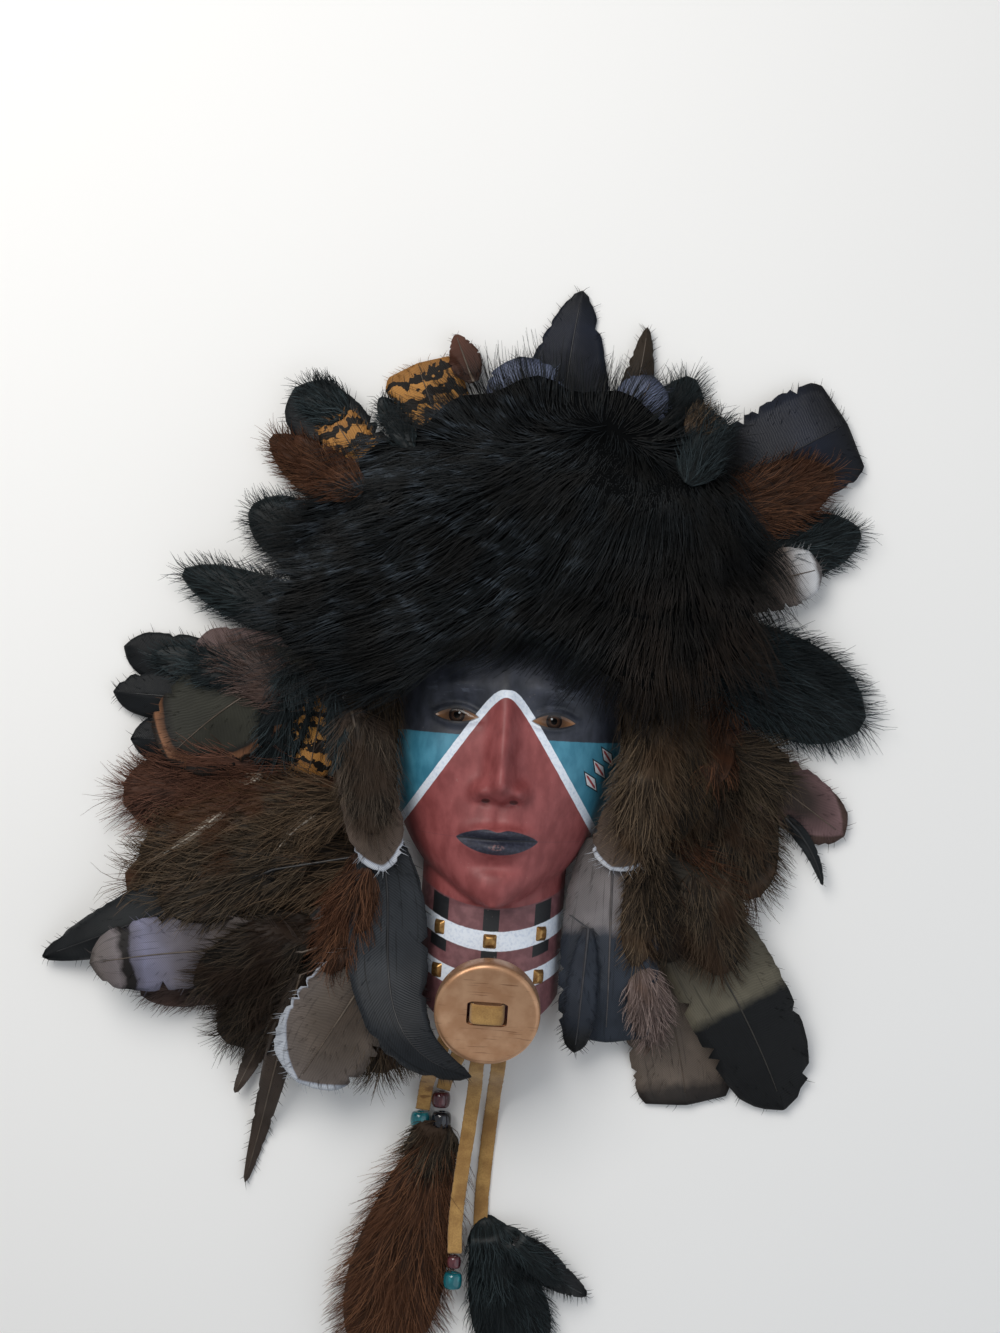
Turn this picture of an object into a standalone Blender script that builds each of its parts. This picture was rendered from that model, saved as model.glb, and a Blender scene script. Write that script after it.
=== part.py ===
"""Feathered mask: a ceramic face with a fur cap, a ring of feathers, a slotted disc, laces, beads and plumes.

It lies on its back. +Z points up out of the face, +Y to the top of the head, +X to the viewer's right.
Places are measured from the middle of the face on the line of the eyes, and at the end the whole mask
moves so that the origin is under the middle of everything but the laces and what hangs on them.
"""

import math
from dataclasses import dataclass

import bmesh
import bpy
import numpy as np
from mathutils import Matrix, Vector

MM = 0.001
GAP = 0.0003

# The ceramic head, from crown to chin, and the neck below it.
HEAD_HEIGHT = 0.168
HEAD_HALF_WIDTH = 0.055
FACE_DEPTH = 0.054
NECK_HALF_WIDTH = 0.033
NECK_DEPTH = 0.038
NECK_LENGTH = 0.059
NECK_END_RISE = 0.018
SIDE_WALL = 0.005
FRONT_WALL = 0.010
FACE_COLUMNS = 25
CROWN_ROWS = 8
FACE_ROWS = 30
NECK_ROWS = 6
HOLLOW_COLUMNS = 13
HOLLOW_ROWS = 15
HOLLOW_RUN_OUT = 0.004

# The slotted disc at the throat, and the lace that crosses its bar.
DISC_RADIUS = 0.0235
DISC_THICKNESS = 0.010
DISC_EDGE_RADIUS = 0.0022
DISC_DISH = 0.0016
DISC_TILT = 13.0
DISC_DROP = 0.043
DISC_OFFSET_X = 0.001
DISC_STEPS = 28
BOSS_RADIUS = 0.005
BOSS_HEIGHT = 0.005
SLOT_WIDTH = 0.003
SLOT_HEIGHT = 0.0100
BAR_WIDTH = 0.012
LACE_WIDTH = 0.007
LACE_THICKNESS = 0.0015
LACE_POINTS = 12

# Raised studs stand on the painted collar in two curved rows.
STUD_WIDTH = 0.0072
STUD_LENGTH = 0.0088
STUD_RISE = 0.0014
STUD_ROWS = (0.0158, 0.0352)
STUD_SPACING = 0.0230
STUD_ROW_CURVE = 0.0042

# Beads are barrels with a drilled middle.
BEAD_LENGTH = 0.0075
BEAD_HOLE_RADIUS = 0.0013
BEAD_SIDES = 8

# The fur cap spreads from a middle on the crown.
FUR_MIDDLE = (0.004, 0.072)
FUR_SECTORS = 40
FUR_RINGS = (0.0, 0.24, 0.46, 0.66, 0.83, 0.94, 1.0)
FUR_EDGE_THICKNESS = 0.004
FUR_MIDDLE_THICKNESS = 0.013
FUR_LOCKS = 13
FUR_LOCK_DEPTH = 0.035
FUR_RIPPLE = 0.30
# Degrees round the middle from the viewer's right, and the fur's reach there in millimetres.
FUR_REACH = (
    (0, 120), (20, 115), (40, 107), (60, 97), (80, 92), (100, 91), (120, 87), (140, 88),
    (160, 101), (180, 117), (200, 123), (215, 118), (228, 95), (238, 56), (256, 38),
    (275, 38), (294, 44), (305, 62), (315, 85), (328, 103), (345, 118), (360, 120),
)

# How feathers lie on what is under them.
LAY_GAP = 0.0006
LAY_SLOPE = 0.7
MAP_CELL = 0.0015
MAP_HALF_SIDE = 0.36
ROOT_GAP = 0.0008
QUILL_WIDTH = 0.004

CROWN_Y = HEAD_HEIGHT / 2
CHIN_Y = -HEAD_HEIGHT / 2
WIDEST_Y = 0.12 * HEAD_HEIGHT
NECK_END_Y = CHIN_Y - NECK_LENGTH
JAW_MEETS_NECK_Y = -0.30 * HEAD_HEIGHT
DISC_Y = CHIN_Y - DISC_DROP
DISC_LEAN = math.radians(DISC_TILT)
SEAT_Z = NECK_DEPTH + GAP + BOSS_RADIUS * math.sin(DISC_LEAN)

# The face's forms as shares of the head's height: middle across and up, height, spread across and up.
FACE_FORMS = (
    ("socket", 0.130, 0.010, -0.034, 0.062, 0.042),
    ("brow", 0.120, 0.082, 0.012, 0.070, 0.024),
    ("eyeball", 0.128, -0.002, 0.036, 0.046, 0.030),
    ("cheekbone", 0.205, -0.115, 0.014, 0.085, 0.075),
    ("cheek_hollow", 0.190, -0.285, -0.012, 0.060, 0.070),
    ("nose_bridge", 0.000, -0.010, 0.040, 0.030, 0.095),
    ("nose_ridge", 0.000, -0.115, 0.060, 0.033, 0.075),
    ("nose_tip", 0.000, -0.178, 0.052, 0.038, 0.036),
    ("nostril_wing", 0.050, -0.192, 0.040, 0.024, 0.024),
    ("upper_lip", 0.030, -0.297, 0.024, 0.055, 0.017),
    ("lower_lip", 0.000, -0.338, 0.030, 0.062, 0.020),
    ("muzzle", 0.000, -0.300, 0.020, 0.095, 0.085),
    ("lip_fold", 0.000, -0.390, -0.014, 0.060, 0.018),
    ("chin_ball", 0.000, -0.445, 0.028, 0.085, 0.055),
)
MOUTH_LINE_Y = -0.316 * HEAD_HEIGHT
MOUTH_HALF_WIDTH = 0.108 * HEAD_HEIGHT
MOUTH_LINE_DEPTH = 0.016 * HEAD_HEIGHT
NOSE_BASE_Y = -0.214 * HEAD_HEIGHT


QUARTER_TURN = Matrix.Rotation(math.radians(45), 2)


@dataclass(frozen=True)
class Form:
    """How wide a kind of feather is from root to tip, and how thick, in millimetres."""

    shares: tuple
    middle_thickness: float
    edge_thickness: float
    camber: float


FORMS = {
    "round": Form((0.30, 0.62, 0.90, 1.00, 0.97, 0.76, 0.34), 1.8, 1.2, 1.6),
    "point": Form((0.30, 0.66, 0.95, 1.00, 0.72, 0.40, 0.10), 1.8, 1.2, 1.6),
    "square": Form((0.30, 0.60, 0.86, 0.97, 1.00, 0.98, 0.78), 1.8, 1.2, 1.6),
    "spike": Form((0.60, 0.90, 1.00, 0.85, 0.62, 0.38, 0.16), 1.8, 1.2, 0.8),
    "down": Form((0.62, 0.86, 0.98, 1.00, 0.93, 0.76, 0.40), 9.0, 3.5, 0.0),
    "wisp": Form((0.40, 0.72, 0.95, 1.00, 0.90, 0.66, 0.30), 4.0, 1.8, 0.0),
    "plume": Form((0.30, 0.62, 0.84, 1.00, 1.00, 0.80, 0.40), 11.0, 4.0, 0.0),
}
STATIONS = (0.0, 0.14, 0.33, 0.54, 0.75, 0.91, 1.0)

COLOURS = {
    "black": (0.012, 0.013, 0.016),
    "blue_black": (0.020, 0.026, 0.040),
    "slate": (0.035, 0.042, 0.052),
    "brown": (0.060, 0.030, 0.020),
    "grey_brown": (0.090, 0.065, 0.048),
    "maroon": (0.085, 0.028, 0.022),
    "rust": (0.140, 0.040, 0.020),
    "taupe": (0.100, 0.085, 0.070),
    "gold": (0.480, 0.200, 0.040),
    "copper": (0.160, 0.070, 0.035),
    "mauve": (0.120, 0.075, 0.075),
}


@dataclass(frozen=True)
class Feather:
    """One feather: where it shows from and to in millimetres, and what it looks like."""

    name: str
    root: tuple
    tip: tuple
    width: float
    form: str
    colour: str
    bow: float = 0.0
    over: bool = False
    late: float = 0.0


# From the lowest layer to the highest. Down lies under the vanes, and the last ones lie over the face's edge.
FEATHERS = (
    Feather("down_maroon_left", (-66, -36), (-188, -48), 60, "down", "maroon", 4),
    Feather("down_brown_left", (-52, -66), (-184, -90), 56, "down", "brown"),
    Feather("down_dark_low", (-62, -104), (-128, -164), 52, "down", "brown"),
    Feather("down_brown_low", (-46, -118), (-47, -172), 42, "down", "brown"),
    Feather("down_brown_right", (66, -10), (126, -62), 62, "down", "brown"),
    Feather("down_dark_right", (76, -52), (116, -104), 46, "down", "rust"),
    Feather("down_black_right", (76, 36), (176, 2), 60, "down", "black", 4),
    Feather("down_black_upper_left", (-72, 64), (-131, 91), 40, "down", "black"),
    Feather("plume_black_left", (-62, 28), (-165, 60), 32, "down", "black"),
    Feather("down_black_curl_right", (96, 76), (166, 99), 38, "down", "black"),
    Feather("tuft_dark_top", (54, 100), (78, 171), 38, "wisp", "black"),
    Feather("down_rust_left", (-62, 85), (-124, 126), 30, "wisp", "rust"),
    Feather("feather_crest_black", (17, 108), (22, 198), 34, "point", "blue_black", 2),
    Feather("feather_crest_small", (37, 108), (53, 184), 18, "point", "brown", -3),
    Feather("feather_square_right", (70, 98), (148, 146), 52, "square", "blue_black"),
    Feather("down_rust_right", (80, 98), (150, 128), 40, "wisp", "rust", -4),
    Feather("feather_black_round", (-52, 92), (-107, 144), 34, "round", "black"),
    Feather("feather_gold_low", (-50, 80), (-88, 131), 22, "square", "gold"),
    Feather("feather_gold_high", (-26, 100), (-52, 160), 36, "square", "gold"),
    Feather("feather_blue_left", (8, 104), (-5, 166), 38, "round", "blue_black"),
    Feather("feather_blue_right", (35, 104), (57, 161), 28, "round", "blue_black"),
    Feather("feather_black_lobe_high", (-76, 8), (-178, 20), 27, "round", "black", 3),
    Feather("feather_black_lobe_low", (-76, -2), (-181, -1), 25, "round", "black"),
    Feather("feather_black_below", (-76, -15), (-171, -22), 27, "round", "black"),
    Feather("feather_grey_mauve", (-66, 12), (-144, 24), 24, "round", "mauve"),
    Feather("feather_copper_rim", (-92, 18), (-153, -30), 48, "round", "copper", -4),
    Feather("feather_gold_ear", (-80, 22), (-88, -33), 19, "square", "gold"),
    Feather("feather_black_spike_left", (-100, -76), (-205, -125), 30, "point", "black"),
    Feather("feather_banded", (-84, -112), (-180, -124), 34, "round", "taupe", -3),
    Feather("feather_spike_long", (-84, -122), (-105, -223), 13, "spike", "grey_brown"),
    Feather("feather_rust_mid_left", (-60, -66), (-62, -128), 34, "round", "rust"),
    Feather("feather_fringe_low", (-46, -106), (-82, -170), 46, "round", "grey_brown"),
    Feather("feather_mauve_round", (95, -2), (160, -44), 29, "round", "mauve"),
    Feather("feather_white_tip_right", (90, 62), (140, 78), 28, "round", "taupe"),
    Feather("feather_taupe_square", (66, -86), (96, -173), 46, "square", "taupe", 4),
    Feather("feather_large_blacktip", (62, -54), (141, -172), 48, "round", "grey_brown", 6),
    Feather("feather_taupe_navy", (52, -36), (56, -145), 45, "square", "taupe"),
    Feather("feather_black_narrow", (44, -92), (42, -150), 15, "round", "black"),
    Feather("fur_left", (-60, 26), (-64, -64), 32, "down", "brown", 2, True),
    Feather("fur_right", (62, 24), (82, -60), 46, "down", "brown", 2, True),
    Feather("feather_slate", (-58, -50), (-4, -158), 36, "point", "slate", -15.3, True, 1.46),
    Feather("feather_fringe_cheek_left", (-68, 0), (-49, -71), 26, "round", "grey_brown", 0, True),
    Feather("feather_fringe_cheek_right", (66, -20), (52, -65), 27, "round", "grey_brown", 0, True),
)
PLUMES = (
    Feather("plume_brown", (-17, -196), (-40, -319), 58, "plume", "brown", -3, True),
    Feather("plume_dark", (10, -239), (36, -306), 40, "down", "black", 0, True),
    Feather("plume_spike", (20, -240), (56, -264), 17, "spike", "black", 0, True),
)

# Each lace's route in millimetres from the middle of the face: out from behind the disc, down and along.
LACES = {
    "lace_left": ((-15, -138, 39.8), (-17, -146, 38.8), (-20, -155, 32.5), (-22.5, -163, 20), (-24.5, -172, 8),
                  (-25.4, -183.2, 4.6)),
    "lace_second": ((-7.2, -138, 39.8), (-9, -147, 38.8), (-12, -156, 32), (-14, -163, 18), (-15.5, -168.5, 8),
                    (-16.4, -173.1, 5.2)),
    "lace_third": ((0.4, -138, 39.8), (-1, -148, 38.6), (-2, -158, 32), (-2, -168, 20), (-3, -182, 13.5),
                   (-5, -205, 13.2), (-6.5, -228, 13.6), (-6, -246.0, 14.4)),
    "lace_fourth": ((8.2, -138, 39.8), (8, -148, 38.6), (7.6, -158, 32), (7, -168, 18), (6.4, -182, 4.5),
                    (5.6, -200, 1.1), (4.8, -220, 1.1), (5, -236, 1.6)),
}
# Bead name: middle in millimetres, outer width, colour.
BEADS = {
    "bead_teal": ((-26.2, -188.2, 4.6), 9.0, (0.010, 0.120, 0.150)),
    "bead_purple": ((-17.2, -178, 5.0), 8.6, (0.060, 0.012, 0.022)),
    "bead_dark": ((-16.4, -187.5, 4.8), 9.2, (0.012, 0.014, 0.020)),
    "bead_low_purple": ((-6, -250, 14.4), 6.4, (0.060, 0.012, 0.022)),
    "bead_low_teal": ((-6, -258.5, 14.2), 8.6, (0.010, 0.120, 0.150)),
}


def clear_scene():
    """Remove what a new file holds, so that the script starts from nothing."""
    for obj in list(bpy.data.objects):
        bpy.data.objects.remove(obj, do_unlink=True)


def new_collection(name):
    """A collection in the scene for the parts or the cutters."""
    collection = bpy.data.collections.new(name)
    bpy.context.scene.collection.children.link(collection)
    return collection


def new_material(name, colour, roughness, metallic=0.0):
    """A Principled material of one colour."""
    material = bpy.data.materials.new(name)
    material.use_nodes = True
    shader = material.node_tree.nodes["Principled BSDF"]
    shader.inputs["Base Color"].default_value = (*colour, 1.0)
    shader.inputs["Roughness"].default_value = roughness
    shader.inputs["Metallic"].default_value = metallic
    return material


def add_object(name, data, collection, parent, material=None):
    """Put a mesh or curve in the scene under the mask's empty."""
    obj = bpy.data.objects.new(name, data)
    collection.objects.link(obj)
    obj.parent = parent
    if material:
        data.materials.append(material)
    return obj


def hide_cutter(obj):
    """A cutter is drawn as wire and is no part of the mask."""
    obj.hide_render = True
    obj.display_type = "WIRE"


def mesh_from(name, work):
    """Turn a closed bmesh's faces outwards and make it a mesh."""
    bmesh.ops.recalc_face_normals(work, faces=work.faces)
    if work.calc_volume(signed=True) < 0:
        bmesh.ops.reverse_faces(work, faces=work.faces)
    mesh = bpy.data.meshes.new(name)
    work.to_mesh(mesh)
    work.free()
    return mesh


def head_half_width(y):
    """Half the head's width: a dome above its widest line, a jaw that narrows to the chin below."""
    up = np.clip((y - WIDEST_Y) / (CROWN_Y - WIDEST_Y), 0, 1)
    down = np.clip((WIDEST_Y - y) / (WIDEST_Y - CHIN_Y), 0, 1)
    dome = np.sqrt(1 - up**2.2)
    jaw = np.sqrt(1 - down**2.6)
    return HEAD_HALF_WIDTH * np.where(y > WIDEST_Y, dome, jaw)


def outline_half_width(y):
    """Half the ceramic's width, head and neck together."""
    neck = np.where(y < JAW_MEETS_NECK_Y, NECK_HALF_WIDTH, 0.0)
    return np.maximum(head_half_width(y), neck)


def neck_end(x):
    """Where the neck ends: a shallow curve, lowest in the middle."""
    across = np.clip(np.abs(x) / NECK_HALF_WIDTH, 0, 1)
    return NECK_END_Y + NECK_END_RISE * across**2


def rounded(across, depth):
    """A cross-section that is full in front and turns straight down at the sides."""
    return depth * (1 - np.clip(np.abs(across), 0, 1) ** 2.6) ** 0.45


def bare_height(x, y):
    """The head and neck without the face's forms."""
    up = np.clip((y - WIDEST_Y) / (CROWN_Y - WIDEST_Y), 0, 1)
    down = np.clip((WIDEST_Y - y) / (WIDEST_Y - CHIN_Y), 0, 1)
    middle = FACE_DEPTH * np.where(y > WIDEST_Y, np.sqrt(1 - up**2.4), 1 - 0.10 * down**2)
    width = np.maximum(head_half_width(y), 1e-5)
    head = np.where((np.abs(x) < width) & (y > CHIN_Y), rounded(x / width, middle), 0.0)
    neck = np.where(y < JAW_MEETS_NECK_Y, rounded(x / NECK_HALF_WIDTH, NECK_DEPTH), 0.0)
    return np.maximum(head, neck)


def form_height(x, y):
    """What the brow, eyes, nose, lips, cheeks and chin add to the bare head."""
    total = np.zeros_like(x)
    size = HEAD_HEIGHT
    for name, across, up, height, wide, tall in FACE_FORMS:
        rise = np.exp(-(((y - up * size) / (tall * size)) ** 2))
        if name in ("nose_tip", "nostril_wing", "nose_ridge"):
            rise = np.where(y < NOSE_BASE_Y, rise * 0.12, rise)
        if name == "chin_ball":
            rise = np.where(y < CHIN_Y, 0.0, rise)
        for side in ((-1, 1) if across else (1,)):
            total += height * size * rise * np.exp(-(((x - side * across * size) / (wide * size)) ** 2))
    parting = np.exp(-(((y - MOUTH_LINE_Y) / (0.010 * size)) ** 2))
    total -= MOUTH_LINE_DEPTH * parting * np.clip(1 - (x / MOUTH_HALF_WIDTH) ** 4, 0, 1)
    return total


def face_height(x, y):
    """The ceramic's front surface."""
    bare = bare_height(x, y)
    fade = np.clip(1 - (np.abs(x) / np.maximum(outline_half_width(y), 1e-5)) ** 6, 0, 1)
    return bare + form_height(x, y) * fade * np.where(y < CHIN_Y, 0.0, 1.0)


def dome_body(name, across, rows, place, floor):
    """A closed body whose top is a grid shaped by place(share, row) and whose underside is flat."""
    work = bmesh.new()
    columns = len(across)
    bmesh.ops.create_grid(work, x_segments=columns - 1, y_segments=len(rows) - 1, size=1.0)
    for vertex in work.verts:
        column = round((vertex.co.x + 1) / 2 * (columns - 1))
        row = round((vertex.co.y + 1) / 2 * (len(rows) - 1))
        vertex.co = place(across[column], rows[row])
    bmesh.ops.remove_doubles(work, verts=work.verts, dist=1e-6)
    rim = [edge for edge in work.edges if edge.is_boundary]
    for edge in rim:
        for vertex in edge.verts:
            vertex.co.z = floor
    bmesh.ops.contextual_create(work, geom=rim)
    return mesh_from(name, work)


def build_shell(parts, cutters, parent):
    """The ceramic: a face and half a neck, hollow and open behind, with its rim flat on the ground."""
    inner_columns = np.linspace(-0.88, 0.88, FACE_COLUMNS)
    across = np.concatenate(([-1.0, -0.96], inner_columns, [0.96, 1.0]))
    crown = CROWN_Y - 0.001 - (CROWN_Y - 0.001 - 0.018) * np.linspace(0, 1, CROWN_ROWS) ** 1.4
    face = np.linspace(0.0145, CHIN_Y - 0.0005, FACE_ROWS)
    neck = CHIN_Y + (NECK_END_Y - CHIN_Y) * np.linspace(0.07, 1.0, NECK_ROWS)
    rows = [*crown, *face, *neck, NECK_END_Y - 1.0]

    def outer(share, y):
        """A point of the front, the last row being the foot of the neck's end."""
        row = max(y, NECK_END_Y)
        x = share * float(outline_half_width(row))
        if row < CHIN_Y:
            row = CHIN_Y + (row - CHIN_Y) * (CHIN_Y - float(neck_end(x))) / NECK_LENGTH
        high = 0.0 if y < NECK_END_Y else float(face_height(np.array(x), np.array(max(y, NECK_END_Y))))
        return Vector((x, row, high))

    shell_mesh = dome_body("mask_shell", across, rows, outer, 0.0)
    ceramic = new_material("ceramic_paint", (0.22, 0.05, 0.045), 0.6)
    shell = add_object("mask_shell", shell_mesh, parts, parent, ceramic)

    def inner(share, y):
        """A point of the hollow, a wall inside the front, running out past the neck's end."""
        width = float(outline_half_width(y)) - SIDE_WALL
        x = share * width
        high = float(bare_height(np.array(x * (width + SIDE_WALL) / width), np.array(y))) - FRONT_WALL
        return Vector((x, y, high))

    top = CROWN_Y - 0.004
    hollow_rows = [*np.linspace(top, CHIN_Y + 0.003, HOLLOW_ROWS), CHIN_Y - 0.003]
    hollow_rows += [CHIN_Y - 0.010, *NECK_END_Y - HOLLOW_RUN_OUT * np.array([0.5, 1.0])]
    hollow_across = np.sin(np.linspace(-math.pi / 2, math.pi / 2, HOLLOW_COLUMNS))
    hollow_mesh = dome_body("shell_hollow", hollow_across, hollow_rows, inner, -0.010)
    hollow = add_object("shell_hollow", hollow_mesh, cutters, parent)
    hide_cutter(hollow)
    cut = shell.modifiers.new("hollow", "BOOLEAN")
    cut.object = hollow
    cut.solver = "EXACT"
    for number, row in enumerate(STUD_ROWS):
        for place in ((-1, 0, 1) if number == 0 else (-1, 1)):
            stud = build_stud(f"stud_{number}_{place + 1}", place, row, cutters, parent)
            join = shell.modifiers.new("stud", "BOOLEAN")
            join.operation = "UNION"
            join.object = stud
            join.solver = "EXACT"
    return shell


def build_stud(name, place, row, cutters, parent):
    """A low square stud with sloping sides, set square to the neck's front."""
    x = place * STUD_SPACING
    y = CHIN_Y - row + STUD_ROW_CURVE * place**2
    step = 0.001
    high = float(bare_height(np.array(x), np.array(y)))
    slope = (float(bare_height(np.array(x + step), np.array(y))) - high) / step
    work = bmesh.new()
    bmesh.ops.create_cone(work, cap_ends=True, segments=4, radius1=math.sqrt(0.5), radius2=0.62 * math.sqrt(0.5),
                          depth=1.0)
    for vertex in work.verts:
        turned = Vector((vertex.co.x, vertex.co.y)) @ QUARTER_TURN
        vertex.co = (turned.x * STUD_WIDTH, turned.y * STUD_LENGTH, (vertex.co.z + 0.5) * 2 * STUD_RISE - STUD_RISE)
    stud = add_object(name, mesh_from(name, work), cutters, parent)
    stud.location = (x, y, high)
    stud.rotation_euler = (0.0, -math.atan(slope), 0.0)
    hide_cutter(stud)
    return stud


def build_disc(parts, cutters, seat):
    """The slotted disc: a turned, dished plate with a rounded edge and a small boss, cut by two slots."""
    back = BOSS_HEIGHT
    front = BOSS_HEIGHT + DISC_THICKNESS
    flat = DISC_RADIUS - DISC_EDGE_RADIUS
    profile = [(0.0, front - DISC_DISH), (flat * 0.5, front - DISC_DISH * 0.62)]
    for step in range(4):
        turn = math.radians(90 - 30 * step)
        profile.append((flat + DISC_EDGE_RADIUS * math.cos(turn), front - DISC_EDGE_RADIUS * (1 - math.sin(turn))))
    profile += [(DISC_RADIUS, back + DISC_EDGE_RADIUS / 2), (DISC_RADIUS - DISC_EDGE_RADIUS / 2, back)]
    profile += [(BOSS_RADIUS, back), (BOSS_RADIUS, 0.0), (0.0, 0.0)]
    mesh = bpy.data.meshes.new("throat_disc")
    edges = [(i, i + 1) for i in range(len(profile) - 1)]
    mesh.from_pydata([(x, 0.0, z) for x, z in profile], edges, [])
    disc = add_object("throat_disc", mesh, parts, seat, new_material("copper_metal", (0.52, 0.32, 0.18), 0.42, 1.0))
    turned = disc.modifiers.new("turned", "SCREW")
    turned.steps = DISC_STEPS
    turned.render_steps = DISC_STEPS
    turned.use_merge_vertices = True
    turned.merge_threshold = 0.00005
    for side in (-1, 1):
        work = bmesh.new()
        bmesh.ops.create_cube(work, size=1.0)
        slot = add_object(f"disc_slot_{'left' if side < 0 else 'right'}", mesh_from("disc_slot", work), cutters, seat)
        slot.location = (side * (BAR_WIDTH + SLOT_WIDTH) / 2, 0.0, front - DISC_THICKNESS / 2)
        slot.scale = (SLOT_WIDTH, SLOT_HEIGHT, DISC_THICKNESS * 2)
        hide_cutter(slot)
        cut = disc.modifiers.new("slot", "BOOLEAN")
        cut.object = slot
        cut.solver = "EXACT"
    return disc


def build_bridge(parts, seat):
    """The lace across the disc's bar: a strap that dips into both slots."""
    top = BOSS_HEIGHT + DISC_THICKNESS + GAP + LACE_THICKNESS - DISC_DISH / 2
    foot = BOSS_HEIGHT - 0.0005
    inner = BAR_WIDTH / 2 + GAP
    outer = inner + LACE_THICKNESS
    shoulder = LACE_THICKNESS * 0.6
    outline = [(-outer, foot), (-outer, top - shoulder), (-outer + shoulder, top), (outer - shoulder, top),
               (outer, top - shoulder), (outer, foot), (inner, foot), (inner, top - LACE_THICKNESS),
               (-inner, top - LACE_THICKNESS), (-inner, foot)]
    curve = bpy.data.curves.new("lace_bridge", "CURVE")
    curve.dimensions = "2D"
    curve.fill_mode = "BOTH"
    curve.extrude = LACE_WIDTH / 2
    spline = curve.splines.new("POLY")
    spline.points.add(len(outline) - 1)
    for point, (x, z) in zip(spline.points, outline):
        point.co = (x, z, 0.0, 1.0)
    spline.use_cyclic_u = True
    bridge = add_object("lace_bridge", curve, parts, seat, new_material("suede_bridge", (0.36, 0.20, 0.06), 0.9))
    bridge.rotation_euler = (math.radians(90), 0.0, 0.0)
    return bridge


def smooth_points(route, count):
    """Points at even steps along a smooth curve through the route's own points."""
    ends = [2 * route[0] - route[1], *route, 2 * route[-1] - route[-2]]
    dense = []
    for a, b, c, d in zip(ends, ends[1:], ends[2:], ends[3:]):
        for step in range(24):
            t = step / 24
            dense.append(0.5 * (2 * b + (c - a) * t + (2 * a - 5 * b + 4 * c - d) * t**2
                                + (3 * b - a - 3 * c + d) * t**3))
    dense.append(route[-1])
    along = [0.0]
    for a, b in zip(dense, dense[1:]):
        along.append(along[-1] + (b - a).length)
    picked = []
    for step in range(count):
        want = along[-1] * step / (count - 1)
        i = min(next((k for k, s in enumerate(along) if s >= want), len(along) - 1), len(along) - 1)
        low = max(i - 1, 0)
        span = along[i] - along[low]
        share = (want - along[low]) / span if span else 0.0
        picked.append(dense[low].lerp(dense[i], share))
    return picked


def build_laces(parts, parent):
    """Four flat suede laces that leave from behind the disc and lie down on the ground."""
    laces = []
    for name, places in LACES.items():
        route = [Vector(place) * MM for place in places]
        points = smooth_points(route, LACE_POINTS)
        curve = bpy.data.curves.new(name, "CURVE")
        curve.dimensions = "3D"
        curve.twist_mode = "Z_UP"
        curve.extrude = (LACE_WIDTH - LACE_THICKNESS) / 2
        curve.bevel_depth = LACE_THICKNESS / 2
        curve.bevel_resolution = 0
        curve.use_fill_caps = True
        spline = curve.splines.new("POLY")
        spline.points.add(len(points) - 1)
        for point, place in zip(spline.points, points):
            point.co = (*place, 1.0)
            point.tilt = math.radians(90)
        laces.append(add_object(name, curve, parts, parent, new_material(f"suede_{name}", (0.36, 0.20, 0.06), 0.9)))
    return laces


def build_beads(parts, parent):
    """Drilled barrel beads, each turned about the line of the lace it hangs on."""
    beads = []
    for name, (middle, width, colour) in BEADS.items():
        radius = width * MM / 2
        half = min(BEAD_LENGTH, width * MM * 0.85) / 2
        shoulder = radius * 0.72
        profile = [(BEAD_HOLE_RADIUS, half), (shoulder, half), (radius, half * 0.45), (radius, -half * 0.45),
                   (shoulder, -half), (BEAD_HOLE_RADIUS, -half)]
        mesh = bpy.data.meshes.new(name)
        edges = [(i, (i + 1) % len(profile)) for i in range(len(profile))]
        mesh.from_pydata([(x, 0.0, z) for x, z in profile], edges, [])
        bead = add_object(name, mesh, parts, parent, new_material(f"glass_{name}", colour, 0.08))
        bead.location = Vector(middle) * MM
        bead.rotation_euler = (math.radians(90), 0.0, 0.0)
        turned = bead.modifiers.new("turned", "SCREW")
        turned.steps = BEAD_SIDES
        turned.render_steps = BEAD_SIDES
        turned.use_merge_vertices = True
        turned.merge_threshold = 0.00005
        beads.append(bead)
    return beads


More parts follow.
